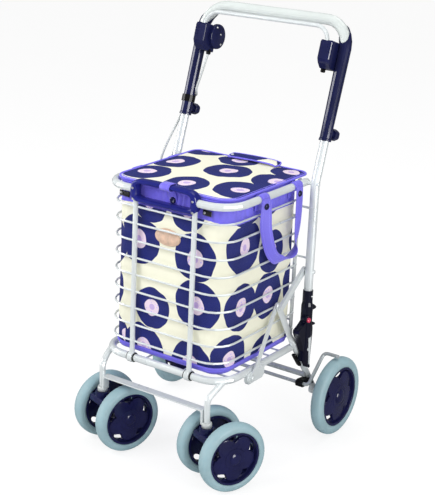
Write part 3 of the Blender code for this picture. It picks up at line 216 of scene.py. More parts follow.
class Finish:
    """A Principled material with short calls for the nodes that drive it."""

    def __init__(self, name, colour, roughness, coords="Object", **settings):
        self.material = bpy.data.materials.new(name)
        self.material.use_nodes = True
        self.material.diffuse_color = (*colour, 1)
        self.tree = self.material.node_tree
        self.shader = self.tree.nodes["Principled BSDF"]
        self.shader.inputs["Base Color"].default_value = (*colour, 1)
        self.shader.inputs["Roughness"].default_value = roughness
        for label, value in settings.items():
            self.shader.inputs[label.replace("_", " ")].default_value = value
        self.place = self.tree.nodes.new("ShaderNodeTexCoord").outputs[coords]

    def node(self, kind, inputs=(), **settings):
        made = self.tree.nodes.new(f"ShaderNode{kind}")
        for label, value in settings.items():
            setattr(made, label, value)
        for key, value in dict(inputs).items():
            if isinstance(value, bpy.types.NodeSocket):
                self.tree.links.new(value, made.inputs[key])
            else:
                made.inputs[key].default_value = value
        return made

    def noise(self, scale, detail=2.0, rough=0.5, place=None):
        inputs = {"Vector": place or self.place, "Scale": scale, "Detail": detail, "Roughness": rough}
        return self.node("TexNoise", inputs).outputs["Fac"]

    def cells(self, scale, randomness, place=None):
        inputs = {"Vector": place or self.place, "Scale": scale, "Randomness": randomness}
        return self.node("TexVoronoi", inputs, feature="F1").outputs["Distance"]

    def stripes(self, scale, axis, distortion=0.0):
        inputs = {"Vector": self.place, "Scale": scale, "Distortion": distortion}
        return self.node("TexWave", inputs, wave_type="BANDS", bands_direction=axis).outputs["Fac"]

    def maths(self, operation, a, b=0.0, c=0.0, clamp=False):
        return self.node("Math", {0: a, 1: b, 2: c}, operation=operation, use_clamp=clamp).outputs["Value"]

    def vector(self, operation, a, b):
        return self.node("VectorMath", {0: a, 1: b}, operation=operation).outputs["Vector"]

    def disc(self, distance, radius, edge):
        """One within a radius, fading to nothing over a narrow edge."""
        return self.maths("DIVIDE", self.maths("SUBTRACT", radius, distance), edge, clamp=True)

    def spread(self, value, low=0.3, high=0.7, out_low=0.0, out_high=1.0):
        labels = ("Value", "From Min", "From Max", "To Min", "To Max")
        inputs = dict(zip(labels, (value, low, high, out_low, out_high)))
        return self.node("MapRange", inputs, clamp=True).outputs["Result"]

    def mixed(self, factor, first, second):
        made = self.node("Mix", data_type="RGBA")
        for index, value in ((0, factor), (6, first), (7, second)):
            if isinstance(value, bpy.types.NodeSocket):
                self.tree.links.new(value, made.inputs[index])
            else:
                made.inputs[index].default_value = (*value, 1) if index else value
        return made.outputs[2]

    def toned(self, factor, colour, low, high):
        """A colour that goes from one share of itself to another."""
        return self.mixed(factor, tinted(colour, low), tinted(colour, high))

    def paint(self, colour):
        self.tree.links.new(colour, self.shader.inputs["Base Color"])

    def rough(self, *span):
        self.tree.links.new(self.spread(*span), self.shader.inputs["Roughness"])

    def bump(self, *layers):
        """Each layer is (height, strength, depth in metres)."""
        normal = None
        for height, strength, depth in layers:
            inputs = {"Height": height, "Strength": strength, "Distance": depth}
            if normal:
                inputs["Normal"] = normal
            normal = self.node("Bump", inputs).outputs["Normal"]
        self.tree.links.new(normal, self.shader.inputs["Normal"])
        return self.material


def tinted(colour, factor):
    return tuple(min(1.0, part * factor) for part in colour)


def enamel(name, colour, roughness, metallic=0.0):
    """Stove enamel on tube: faint orange peel, a little dulling and rare small scuffs."""
    made = Finish(name, colour, roughness, Coat_Weight=0.3, Coat_Roughness=0.10, Metallic=metallic)
    cloudy = made.noise(14.0, 3.0)
    scuffs = made.spread(made.noise(210.0, 4.0, 0.7), 0.66, 0.74)
    base = made.toned(made.spread(cloudy, 0.35), colour, 0.955, 1.0)
    made.paint(made.mixed(made.maths("MULTIPLY", scuffs, 0.35), base, tinted(colour, 0.62)))
    made.rough(cloudy, 0.3, 0.7, roughness - 0.05, roughness + 0.09)
    return made.bump((made.noise(420.0, 1.0), 0.10, 0.0002), (scuffs, 0.15, 0.0001))


def moulding(name, colour, roughness, coat=0.25, relief=0.12):
    """Moulded plastic: a fine spark-eroded grain, flow clouding and handling wear."""
    made = Finish(name, colour, roughness, Coat_Weight=coat, Coat_Roughness=0.05, Coat_IOR=1.45,
                  Specular_IOR_Level=0.06)
    flow = made.noise(22.0, 3.0)
    worn = made.spread(made.noise(75.0, 5.0, 0.72), 0.62, 0.80)
    base = made.toned(made.spread(flow), colour, 0.80, 1.18)
    made.paint(made.mixed(made.maths("MULTIPLY", worn, 0.12), base, tinted(colour, 2.4)))
    made.rough(made.noise(130.0), 0.3, 0.7, roughness - 0.05, roughness + 0.08)
    return made.bump((made.noise(900.0), relief, 0.0002), (flow, 0.05, 0.001))


def tyre_rubber():
    """Pale solid rubber, matt, with road dust where it rolls and fine moulding lines."""
    made = Finish("tyre_rubber", TYRE, 0.62, coords="UV", Specular_IOR_Level=0.35)
    dust = made.spread(made.noise(60.0, 5.0, 0.7), 0.48, 0.72)
    mottled = made.toned(made.spread(made.noise(16.0, 3.0)), TYRE, 0.90, 1.06)
    made.paint(made.mixed(made.maths("MULTIPLY", dust, 0.18), mottled, (0.50, 0.53, 0.52)))
    made.rough(dust, 0.0, 1.0, 0.55, 0.80)
    lines = made.spread(made.stripes(90.0, "Y"), 0.90, 1.0)
    return made.bump((made.noise(700.0), 0.25, 0.0003), (lines, 0.12, 0.0003))


def ribs_at(pitch):
    """The Wave node's scale that gives one band a pitch."""
    return pi / 10 / pitch


def weave_height(made):
    """A plain weave of about one thread a pitch, on coordinates in metres."""
    warp, weft = (made.stripes(ribs_at(WEAVE_PITCH), axis, 0.4) for axis in "XY")
    return made.maths("ADD", made.maths("MULTIPLY", warp, weft), made.noise(1 / WEAVE_PITCH / 3))


def plain_cloth(name, colour, sheen=0.25):
    made = Finish(name, colour, 0.78, coords="UV", Sheen_Weight=sheen, Sheen_Roughness=0.4)
    weave = weave_height(made)
    base = made.toned(made.spread(made.noise(26.0, 4.0, 0.6)), colour, 0.86, 1.10)
    made.paint(made.mixed(made.spread(weave, 0.3, 1.3, 0.0, 0.30), base, tinted(colour, 1.30)))
    made.rough(weave, 0.3, 1.3, 0.84, 0.68)
    return made.bump((weave, 0.35, 0.0004), (made.noise(48.0, 3.0), 0.30, 0.0012))


def webbing(name, colour):
    """Ribbed tape: cross ribs along it and a stitched line near both edges."""
    made = Finish(name, colour, 0.62, coords="UV", Sheen_Weight=0.3, Sheen_Roughness=0.35)
    ribs = made.stripes(ribs_at(0.0011), "X", 0.3)
    parts = made.node("SeparateXYZ", {"Vector": made.place}).outputs
    off_centre = made.maths("ABSOLUTE", parts["Y"])
    near = made.maths("LESS_THAN", made.maths("ABSOLUTE", made.maths("SUBTRACT", off_centre, 0.0070)), 0.00040)
    dash = made.maths("LESS_THAN", made.maths("FRACT", made.maths("DIVIDE", parts["X"], 0.0032)), 0.68)
    stitch = made.maths("MULTIPLY", near, dash)
    made.paint(made.mixed(stitch, made.toned(ribs, colour, 0.80, 1.15), tinted(colour, 1.55)))
    made.rough(ribs, 0.0, 1.0, 0.72, 0.55)
    return made.bump((ribs, 0.30, 0.0004), (stitch, 0.6, 0.0006), (made.noise(60.0, 3.0), 0.2, 0.001))


def printed_cloth(name):
    """Cream cotton with large uneven navy rounds that have pale, dotted centres, on UVs in metres."""
    made = Finish(name, CREAM, 0.80, coords="UV", Sheen_Weight=0.02, Sheen_Roughness=0.45,
                  Specular_IOR_Level=0.15)
    wobble = made.node("TexNoise", {"Vector": made.place, "Scale": 24.0, "Detail": 1.0})
    centred = made.vector("SUBTRACT", wobble.outputs["Color"], (0.5, 0.5, 0.5))
    shift = made.vector("MULTIPLY", centred, (0.013, 0.013, 0.0))
    flat = made.vector("MULTIPLY", made.vector("ADD", made.place, shift), (1.0, 1.0, 0.0))
    inputs = {"Vector": flat, "Scale": 1 / ROUND_CELL, "Randomness": 0.42}
    cell = made.node("TexVoronoi", inputs, feature="F1", voronoi_dimensions="2D")
    distance = made.maths("MULTIPLY", cell.outputs["Distance"], ROUND_CELL)
    tint = made.node("SeparateColor", {"Color": cell.outputs["Color"]}).outputs["Green"]
    edge = 0.0005
    rounds = made.disc(distance, made.spread(tint, 0.0, 1.0, ROUND_RADIUS * 0.86, ROUND_RADIUS * 1.08), edge)
    pale = made.disc(distance, CENTRE_RADIUS, edge)
    hearts = made.disc(distance, HEART_RADIUS, edge)
    dots = made.maths("MULTIPLY", made.cells(1 / DOT_CELL, 0.5, flat), DOT_CELL)
    dots = made.maths("MULTIPLY", made.disc(dots, 0.0013, 0.0003), made.spread(distance, 0.0090, 0.0100))
    shade = made.spread(made.noise(20.0, 4.0, 0.6))
    ground = made.toned(shade, CREAM, 0.95, 1.0)
    ink = made.toned(shade, PRINT_NAVY, 0.82, 1.15)
    colour = made.mixed(pale, made.mixed(rounds, ground, ink), PRINT_PINK)
    colour = made.mixed(made.maths("MULTIPLY", dots, pale), colour, tinted(VIOLET, 1.6))
    colour = made.mixed(hearts, colour, PRINT_HEART)
    weave = weave_height(made)
    made.paint(made.mixed(made.spread(weave, 0.3, 1.3, 0.0, 0.025), colour, (0.9, 0.9, 0.9)))
    made.rough(weave, 0.3, 1.3, 0.86, 0.70)
    return made.bump((weave, 0.25, 0.0003), (made.noise(44.0, 3.0), 0.22, 0.0010))


def leather(name, colour):
    made = Finish(name, colour, 0.5, Coat_Weight=0.1)
    pores = made.cells(900.0, 1.0)
    made.paint(made.toned(made.spread(made.noise(90.0, 4.0)), colour, 0.8, 1.1))
    made.rough(pores, 0.0, 0.8, 0.42, 0.60)
    return made.bump((pores, 0.3, 0.0003))


def bare_metal(name, colour, roughness):
    made = Finish(name, colour, roughness, Metallic=1.0)
    brushed = made.node("Mapping", {"Vector": made.place, "Scale": (300.0, 300.0, 40.0)}).outputs["Vector"]
    scratches = made.noise(1.0, 3.0, 0.6, brushed)
    made.paint(made.toned(made.spread(scratches), colour, 0.82, 1.1))
    made.rough(scratches, 0.3, 0.7, roughness - 0.08, roughness + 0.14)
    return made.bump((scratches, 0.1, 0.0001))


def glossy_button(name, colour):
    made = Finish(name, colour, 0.25, Coat_Weight=0.6, Subsurface_Weight=0.1)
    clouds = made.noise(180.0, 3.0)
    made.paint(made.toned(made.spread(clouds), colour, 0.85, 1.1))
    made.rough(clouds, 0.3, 0.7, 0.2, 0.34)
    return made.bump((clouds, 0.05, 0.0002))


LOOKS = {
    "white_enamel": enamel("white_enamel", ENAMEL, 0.30, 0.15),
    "white_grip_tube": enamel("white_grip_tube", GRIP_WHITE, 0.34),
    "navy_moulding": moulding("navy_moulding", NAVY, 0.34, coat=0.60, relief=0.04),
    "wheel_hub_moulding": moulding("wheel_hub_moulding", HUB_NAVY, 0.30, coat=0.60, relief=0.03),
    "grey_tyre": tyre_rubber(),
    "black_moulding": moulding("black_moulding", BLACK, 0.45),
    "red_button": glossy_button("red_button", RED),
    "cable_sheath": enamel("cable_sheath", SHEATH_GREY, 0.40),
    "printed_cloth": printed_cloth("printed_cloth"),
    "housing": moulding("housing_moulding", BLACK_NAVY, 0.34, coat=0.5, relief=0.05),
    "handle": moulding("handle_moulding", HANDLE_NAVY, 0.34, coat=0.60, relief=0.04),
    "rod": enamel("rod_enamel", ROD_GREY, 0.32, 0.3),
    "binding": plain_cloth("violet_binding", VIOLET),
    "lining": plain_cloth("lining", VIOLET_DEEP, sheen=0.1),
    "tape": webbing("violet_webbing", VIOLET),
    "dark_tape": webbing("black_webbing", BLACK),
    "patch": leather("patch_leather", TAN),
    "metal": bare_metal("zinc_plated", STEEL, 0.32),
}
# The looks that aren't slots of the record, each paired with the printed cloth's slot; the pairing isn't kept
dict.fromkeys(("binding", "lining", "tape", "dark_tape", "patch"), "printed_cloth")


# Mesh helpers

def placed(name, data):
    obj = bpy.data.objects.new(name, data)
    bpy.context.scene.collection.objects.link(obj)
    return obj


def slotted(obj):
    return obj


def smooth(mesh):
    mesh.polygons.foreach_set("use_smooth", [True] * len(mesh.polygons))


def piece(name, points, faces, looks, body=None):
    """A smooth mesh with one or more looks, given by their names."""
    mesh = bpy.data.meshes.new(name)
    mesh.from_pydata([tuple(point) for point in points], [], faces)
    mesh.update()
    for look in [looks] if isinstance(looks, str) else looks:
        mesh.materials.append(LOOKS[look])
    smooth(mesh)
    obj = placed(name, mesh)
    if body:
        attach(obj, body)
    return obj


def edited(obj, change):
    """A mesh after one bmesh operation on its faces or vertices."""
    bm = bmesh.new()
    bm.from_mesh(obj.data)
    change(bm)
    bm.to_mesh(obj.data)
    bm.free()
    return obj


def outward(obj):
    return edited(obj, lambda bm: bmesh.ops.recalc_face_normals(bm, faces=bm.faces))


def solid(name, points, faces, look, body=None):
    """A piece of one look with its faces turned outward."""
    return slotted(outward(piece(name, points, faces, look, body)))


def modify(obj, name, kind, **settings):
    made = obj.modifiers.new(name, kind)
    for label, value in settings.items():
        setattr(made, label, value)


def uv_by_point(obj, uvs):
    """Gives each corner the UV of its point."""
    layer = obj.data.uv_layers.new(name="UVMap")
    index = np.zeros(len(obj.data.loops), int)
    obj.data.loops.foreach_get("vertex_index", index)
    layer.data.foreach_set("uv", np.array(uvs, float)[index].ravel())
    return obj


def ring_faces(rings, around, closed=False, caps=True):
    """Faces between rings of equally many points, with end caps unless the tube is closed on itself."""
    faces = []
    for i in range(rings if closed else rings - 1):
        low, high = i * around, ((i + 1) % rings) * around
        for j in range(around):
            k = (j + 1) % around
            faces.append((low + j, low + k, high + k, high + j))
    if caps and not closed:
        faces.append(tuple(reversed(range(around))))
        faces.append(last_ring(rings, around))
    return faces


def last_ring(rings, around):
    """The face that closes the last of several rings."""
    return tuple((rings - 1) * around + j for j in range(around))


def through(points, steps=6, closed=False):
    """A smooth path through given points."""
    points = [Vector(point) for point in points]
    count = len(points)
    out = []
    for i in range(count if closed else count - 1):
        if closed:
            a, b, c, d = (points[(i + k) % count] for k in (-1, 0, 1, 2))
        else:
            a, b, c, d = points[max(i - 1, 0)], points[i], points[i + 1], points[min(i + 2, count - 1)]
        for step in range(steps):
            t = step / steps
            out.append(
                0.5 * ((2 * b) + (c - a) * t + (2 * a - 5 * b + 4 * c - d) * t**2 + (3 * b - a - 3 * c + d) * t**3)
            )
    if not closed:
        out.append(points[-1])
    return out


def headings(path, closed):
    """The direction along a path at each of its points."""
    count = len(path)
    for i in range(count):
        before = path[i - 1] if i or closed else path[0]
        after = path[(i + 1) % count] if i < count - 1 or closed else path[-1]
        yield (after - before).normalized()


def tube(name, path, radius, look, body=None, around=10, closed=False):
    """A round tube along a path, its frame carried without twist."""
    path = [Vector(point) for point in path]
    points, side = [], None
    for centre, heading in zip(path, headings(path, closed)):
        if side is None:
            side = heading.orthogonal().normalized()
        side = (side - heading * side.dot(heading)).normalized()
        up = heading.cross(side)
        points += [centre + (side * c + up * s) * radius for c, s in circle(around)]
    return solid(name, points, ring_faces(len(path), around, closed), look, body)


# A tape's cross-section, as shares of its width and thickness
TAPE_SECTION = ((-0.5, -0.25), (-0.46, 0.5), (0.0, 0.5), (0.46, 0.5), (0.5, -0.25), (0.46, -0.5), (0.0, -0.5),
                (-0.46, -0.5))


def ribbon(name, path, across, width, thickness, look, body, closed=False):
    """A flat tape along a path. across gives its width's direction, one or one for each point."""
    path = [Vector(point) for point in path]
    directions = across if isinstance(across, list) else [Vector(across)] * len(path)
    points, uvs, length = [], [], 0.0
    for i, (centre, heading) in enumerate(zip(path, headings(path, closed))):
        wide = directions[i]
        wide = (wide - heading * wide.dot(heading)).normalized()
        thick = heading.cross(wide)
        if i:
            length += (centre - path[i - 1]).length
        for a, b in TAPE_SECTION:
            points.append(centre + wide * a * width + thick * b * thickness)
            uvs.append((length, a * width))
    return uv_by_point(solid(name, points, ring_faces(len(path), len(TAPE_SECTION), closed), look, body), uvs)


def frame_on(origin, z_axis, x_axis=None):
    z_axis = Vector(z_axis).normalized()
    x_axis = Vector(x_axis) if x_axis else z_axis.orthogonal()
    x_axis = (x_axis - z_axis * x_axis.dot(z_axis)).normalized()
    turn = Matrix((x_axis, z_axis.cross(x_axis), z_axis)).transposed().to_4x4()
    return Matrix.Translation(origin) @ turn


def revolved(name, profile, steps, matrix, look, body, closed=False, ripple=None, slot=None):
    """A profile of (radius, height) points turned round a frame's Z axis."""
    points, uvs, along = [], [], [0.0]
    for (r0, z0), (r1, z1) in zip(profile, profile[1:]):
        along.append(along[-1] + hypot(r1 - r0, z1 - z0))
    widest = max(part[0] for part in profile)
    for i, (c, s) in enumerate(circle(steps)):
        turn = tau * i / steps
        for j, (r, z) in enumerate(profile):
            r += ripple(j, turn) if ripple else 0.0
            points.append(matrix @ Vector((r * c, r * s, z)))
            uvs.append((turn * widest, along[j]))
    faces = []
    count = len(profile)
    for i in range(steps):
        k = (i + 1) % steps
        for j in range(count if closed else count - 1):
            m = (j + 1) % count
            faces.append((i * count + j, k * count + j, k * count + m, i * count + m))
    if not closed:
        faces.append(tuple(i * count for i in reversed(range(steps))))
        faces.append(tuple(i * count + count - 1 for i in range(steps)))
    obj = uv_by_point(outward(piece(name, points, faces, look, body)), uvs)
    return slotted(obj) if slot else obj


def sharp_by_angle(obj, degrees):
    modify(obj, "sharp_edges", "EDGE_SPLIT", split_angle=radians(degrees))
    modify(obj, "even_shading", "WEIGHTED_NORMAL", keep_sharp=True)
    return obj


def screw(name, place, axis, radius, body, look="metal", kind="pan"):
    """A small fastener: a domed rivet, or a pan head with a recess."""
    share, dip, low = (0.55, 0.55, 0.45) if kind == "pan" else (0.45, 1.02, 1.03)
    height = radius * share
    profile = [
        (radius, -0.0012), (radius, height * 0.35), (radius * 0.86, height * 0.80), (radius * 0.50, height),
        (radius * 0.30, height * dip), (radius * 0.02, height * low),
    ]
    revolved(name, profile, 20, frame_on(place, axis), look, body)


def snap(name, place, axis, body):
    """A press stud: a dark cap with a raised lip round a dimple."""
    profile = [
        (0.0066, -0.0008), (0.0066, 0.0010), (0.0060, 0.0022), (0.0046, 0.0026), (0.0034, 0.0019),
        (0.0026, 0.0014), (0.0001, 0.0012),
    ]
    revolved(name, profile, 28, frame_on(place, axis), "navy_moulding", body)


# CAD nodes

def dress_cad():
    """Every CAD node gets its slot's material and smooth shading between sharp edges."""
    for name, obj in frame["nodes"].items():
        look = NODE_SLOTS[name]
        if name.startswith("lock_housing"):
            look = "housing"
        if name in ("brake_rod", "rear_cross_tube"):
            look = "rod"
        obj.data.materials.clear()
        obj.data.materials.append(LOOKS[look])
        smooth(obj.data)
        obj.data.polygons.foreach_set("material_index", [0] * len(obj.data.polygons))
        if name.startswith("brake_bracket"):
            modify(obj, "soft_edges", "BEVEL", width=0.0008, segments=3, limit_method="ANGLE",
                   angle_limit=radians(30))
        sharp_by_angle(obj, 66 if name.startswith("wire") or name == "bottom_ring" else 48)


# Wheels

def hub_mesh(name, radius, half, axle):
    """A dished hub with a five-armed plate and five lens-shaped windows, local Z outward."""
    steps, lobes, look = HUB_STEPS, HUB_ARMS, "wheel_hub_moulding"
    boss, arm_reach, bore = 0.405, 0.46, axle + FIT

    def dish(r):
        return 0.86 - 0.26 * ((r - boss) / arm_reach) ** 1.4

    def station(turn):
        """(radius, height) from the bore to the rim, round a dished plate with five broad arms."""
        edge = 0.585 + 0.280 * ((1 + cos(lobes * turn)) / 2) ** 0.45
        top = dish(edge)
        plate = [boss + (edge - boss) * share for share in (0.3, 0.6, 0.85, 0.96)]
        return [
            (bore / radius, 0.96), (0.15, 0.96), (0.37, 0.95), (0.39, 0.94), (boss, 0.87),
            *[(r, dish(r)) for r in plate],
            (edge + 0.006, top - 0.012), (edge + 0.012, top - 0.040), (edge + 0.016, top - 0.085),
            (edge + 0.024, (top + 0.36) / 2), (edge + 0.032, 0.38), ((edge + 0.922) / 2, 0.35), (0.895, 0.35),
            (0.905, 0.42), (0.912, 0.88), (0.925, 0.955), (0.970, 0.96), (0.995, 0.93), (1.0, 0.88),
        ]

    ring = circle(steps)
    stations = [station(tau * i / steps) for i in range(steps)]
    points = []
    for level in zip(*stations):
        points += [(r * radius * c, r * radius * s, z * half) for (r, z), (c, s) in zip(level, ring)]
    inner = [(1.0, -0.96), (0.905, -0.96), (0.885, 0.12), (0.30, 0.20), (0.27, -0.90)]
    inner = [(share * radius, z * half) for share, z in inner] + [(bore, -half * 0.90)]
    for r, z in inner:
        points += [(r * c, r * s, z) for c, s in ring]
    faces = ring_faces(len(stations[0]) + len(inner), steps, closed=True)
    obj = outward(piece(name, points, faces, look))
    cutters = []
    for i in range(lobes):
        loops = []
        for z in (-0.03, 0.03):
            for c, s in circle(20):
                angle = tau * (i + 0.5) / lobes + 0.25 * c
                r = radius * (0.780 + 0.102 * s)
                loops.append((r * cos(angle), r * sin(angle), z))
        cutters.append(outward(piece(f"{name}_window_{i}", loops, ring_faces(2, 20), look)))
    for cutter in cutters:
        modify(obj, cutter.name, "BOOLEAN", operation="DIFFERENCE", solver="EXACT", object=cutter)
    graph = bpy.context.evaluated_depsgraph_get()
    mesh = bpy.data.meshes.new_from_object(obj.evaluated_get(graph))
    for made in [obj, *cutters]:
        bpy.data.objects.remove(made)
    smooth(mesh)
    return mesh


def tyre_profile(radius, half, inner):
    """Half-round shoulders over a nearly flat tread, seated on the hub."""
    wall = radius - inner
    profile = [(inner, -half * 0.93)]
    for i in range(13):
        turn = pi * (i / 12 - 0.5)
        bulge = copysign(abs(sin(turn)) ** 0.80, sin(turn))
        profile.append((radius - wall * 0.80 * (1 - abs(cos(turn)) ** 0.62), half * bulge))
    return profile + [(inner, half * 0.93)]


def notch(j, turn):
    """The depth of the shallow side notches, round a tyre and across its profile."""
    near_shoulder = exp(-((abs(j - 7) - 3.6) / 1.2) ** 2)
    return -NOTCH_DEPTH * near_shoulder * max(0.0, cos(TYRE_NOTCHES * turn)) ** 3


def wheel(kind, place_name, hub_data, cap_body):
    """A notched tyre on a shared hub mesh, in place of the faceted pair, and a cap over the axle's end."""
    body = f"{kind}_wheel_{place_name}"
    place = joint_at(f"{body}_roll")
    axis = Vector(JOINTS[f"{body}_roll"]["axis"])
    if axis.dot(Vector((place.x, 0, 0))) < 0:
        axis = -axis
    if body.endswith("inner"):
        axis = -axis
    matrix = frame_on(place, axis, (0, 0, -1))
    profile = tyre_profile(*WHEELS[kind]["tyre"], WHEELS[kind]["hub"][0] + 0.0003)
    tyre = revolved(f"{body}_tyre", profile, TYRE_STEPS, matrix, "grey_tyre", body, closed=True, ripple=notch)
    hub = placed(f"{body}_hub", hub_data)
    hub.matrix_world = matrix
    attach(hub, body)
    sharp_by_angle(hub, 40)
    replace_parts(tyre, f"{kind}_tyre_{place_name}")
    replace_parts(hub, f"{kind}_hub_{place_name}")
    slotted(tyre)
    slotted(hub)
    radius, low, high = WHEELS[kind]["cap"]
    rise = high - low
    profile = [(radius, low - 0.001), (radius, low), (radius * 0.92, low + rise * 0.34),
               (radius * 0.75, low + rise * 0.70), (radius * 0.5, low + rise * 0.93), (radius * 0.2, high),
               (0.0001, high)]
    look = "wheel_hub_moulding"
    revolved(f"{kind}_axle_cap_{place_name}", profile, 28, matrix, look, cap_body, slot=look)


def wheels():
    hubs = {kind: hub_mesh(f"{kind}_hub_look", *sizes["hub"]) for kind, sizes in WHEELS.items()}
    for side_name in SIDES:
        wheel("rear", side_name, hubs["rear"], "chassis")
        for place in ("outer", "inner"):
            wheel("caster", f"{side_name}_{place}", hubs["caster"], f"caster_{side_name}")


# Bag

def bag_loop():
    """Points of the bag's outline with outward directions and distances along it, from the middle of the rear."""
    x, front, rear = BAG_X, -REACH + BAG_FRONT_GAP, -BAG_REAR_GAP
    corners = [
        ((-x + BAG_REAR_CORNER, rear - BAG_REAR_CORNER), BAG_REAR_CORNER, pi / 2),
        ((-x + BAG_CORNER, front + BAG_CORNER), BAG_CORNER, pi),
        ((x - BAG_CORNER, front + BAG_CORNER), BAG_CORNER, pi * 1.5),
        ((x - BAG_REAR_CORNER, rear - BAG_REAR_CORNER), BAG_REAR_CORNER, 0.0),
    ]
    path = [(0.0, rear, 0.0, 1.0)]
    for (cx, cy), radius, start in corners:
        steps = 8 if radius > 0.02 else 4
        for i in range(steps + 1):
            turn = start + pi / 2 * i / steps
            nx, ny = cos(turn), sin(turn)
            path.append((cx + radius * nx, cy + radius * ny, nx, ny))
    path.append((0.0, rear, 0.0, 1.0))
    out, distance = [], 0.0
    for a, b in zip(path, path[1:]):
        gap = hypot(b[0] - a[0], b[1] - a[1])
        pieces = max(1, round(gap / LOOP_PITCH))
        for i in range(pieces):
            t = i / pieces
            out.append((*[p + (q - p) * t for p, q in zip(a, b)], distance + gap * t))
        distance += gap
    return out, distance


BAG_LOOP, BAG_GIRTH = bag_loop()


def bag_runs():
    """The outline's samples in four runs of (index, distance along the outline). The rear one takes its corners."""
    across = [sample[2] for sample in BAG_LOOP]
    front = [i for i, sample in enumerate(BAG_LOOP) if sample[3] < -0.999]
    right = [i for i in range(front[0] + 1) if across[i] < -0.999 or BAG_LOOP[i][3] < -0.001]
    left = [i for i in range(front[-1], len(BAG_LOOP)) if across[i] > 0.999 or BAG_LOOP[i][3] < -0.001]
    rear = [*range(left[-1], len(BAG_LOOP)), *range(right[0] + 1)]
    runs = {name: [(i, BAG_LOOP[i][4]) for i in run]
            for name, run in (("right", right), ("front", front), ("left", left))}
    runs["rear"] = [(i, BAG_LOOP[i][4] + (BAG_GIRTH if i <= right[0] else 0.0)) for i in rear]
    return runs


def cloth_offset(x, y, ny, along, z):
    """How far the sewn cloth stands out of its plain outline: panels bulge, folds run down and the band is gathered.
    """
    height = (z - BAG_BOTTOM) / (BAG_TOP - BAG_BOTTOM)
    panel_x = cos(pi / 2 * min(1, abs(x) / BAG_X))
    panel_y = cos(pi / 2 * min(1, abs(y + REACH / 2) / (REACH / 2)))
    belly = sin(pi * min(1, max(0, height))) ** 0.7
    room = 0.0042 if ny < -0.5 else (0.0032 if ny > 0.5 else 0.0012)
    bulge = room * belly * (panel_x if abs(ny) > 0.5 else panel_y)
    fold = noise.noise(Vector((along * 17.0, z * 7.0, 3.1)))
    crease = noise.noise(Vector((along * 48.0, z * 22.0, 8.7)))
    gathered = 1 / (1 + exp((BAND_LOW - 0.004 - z) / 0.004))
    gather = sin(along * 430.0 + 6 * fold) * (0.6 + 0.6 * noise.noise(Vector((along * 30.0, 0.5, 2.2))))
    return bulge + 0.0016 * fold - 0.0009 + 0.0006 * crease + 0.0019 * gathered * gather


def bag_point(sample, z):
    """A point of the wall. The band's seam sits higher across the front than along the sides."""
    x, y, nx, ny, along = sample
    near_seam = max(0.0, 1 - abs(z - BAND_LOW) / SEAM_REACH)
    z = z + near_seam * (SEAM_STEP * max(0.0, -ny) - SEAM_STEP * abs(nx))
    out = cloth_offset(x, y, ny, along, z)
    if abs(nx) > 0.7:
        out = min(out, SIDE_ROOM)
    rise = z - BAG_BOTTOM
    if rise < BAG_FOOT_ROUND:
        out -= BAG_FOOT_ROUND - sqrt(max(0.0, BAG_FOOT_ROUND**2 - (BAG_FOOT_ROUND - rise) ** 2))
    return Vector((x + nx * out, rear_y(z) + y + ny * out, z))


def bag_rows(high, low):
    marks = [high, low] + [mark for mark in (BAND_LOW, PIPING_Z) if low + 0.001 < mark < high - 0.001]
    marks = sorted(marks, reverse=True)
    rows = []
    for a, b in zip(marks, marks[1:]):
        count = max(1, round((a - b) / ROW_PITCH))
        rows += [a + (b - a) * i / count for i in range(count)]
    return rows + [marks[-1]]


def bag_cloth(name, rows, runs, body, anchor_z=None):
    """Part of the bag's wall on a body. With an anchor, it gets a mesh of its own."""
    points, faces, looks, corners = [], [], [], []
    for run in runs:
        base, across = len(points), len(run)
        points += [bag_point(BAG_LOOP[i], z) for z in rows for i, _ in run]
        for row, (high, low) in enumerate(zip(rows, rows[1:])):
            bound = (high + low) / 2 > BAND_LOW or (high + low) / 2 < PIPING_Z
            for j in range(across - 1):
                a = base + row * across + j
                faces.append((a, a + across, a + across + 1, a + 1))
                looks.append(1 if bound else 0)
                left, right = run[j][1], run[j + 1][1]
                corners += [(left, high), (left, low), (right, low), (right, high)]
    obj = piece(name, points, faces, ["printed_cloth", "binding", "lining"])
    obj.data.polygons.foreach_set("material_index", looks)
    obj.data.uv_layers.new(name="UVMap").data.foreach_set("uv", np.array(corners, float).ravel())
    edited(obj, lambda bm: bmesh.ops.remove_doubles(bm, verts=bm.verts, dist=WELD))
    first = BAG_LOOP[runs[0][0][0]]
    outside = Vector((first[2], first[3], 0)).dot(obj.data.polygons[0].normal) > 0
    modify(obj, "cloth", "SOLIDIFY", thickness=CLOTH_THICKNESS, offset=-1.0 if outside else 1.0, material_offset=2,
           use_rim=True, use_even_offset=True)
    sharp_by_angle(obj, 55)
    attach(obj, body)
    if anchor_z:
        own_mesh(obj)
    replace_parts(obj, "bag")
    slotted(obj)


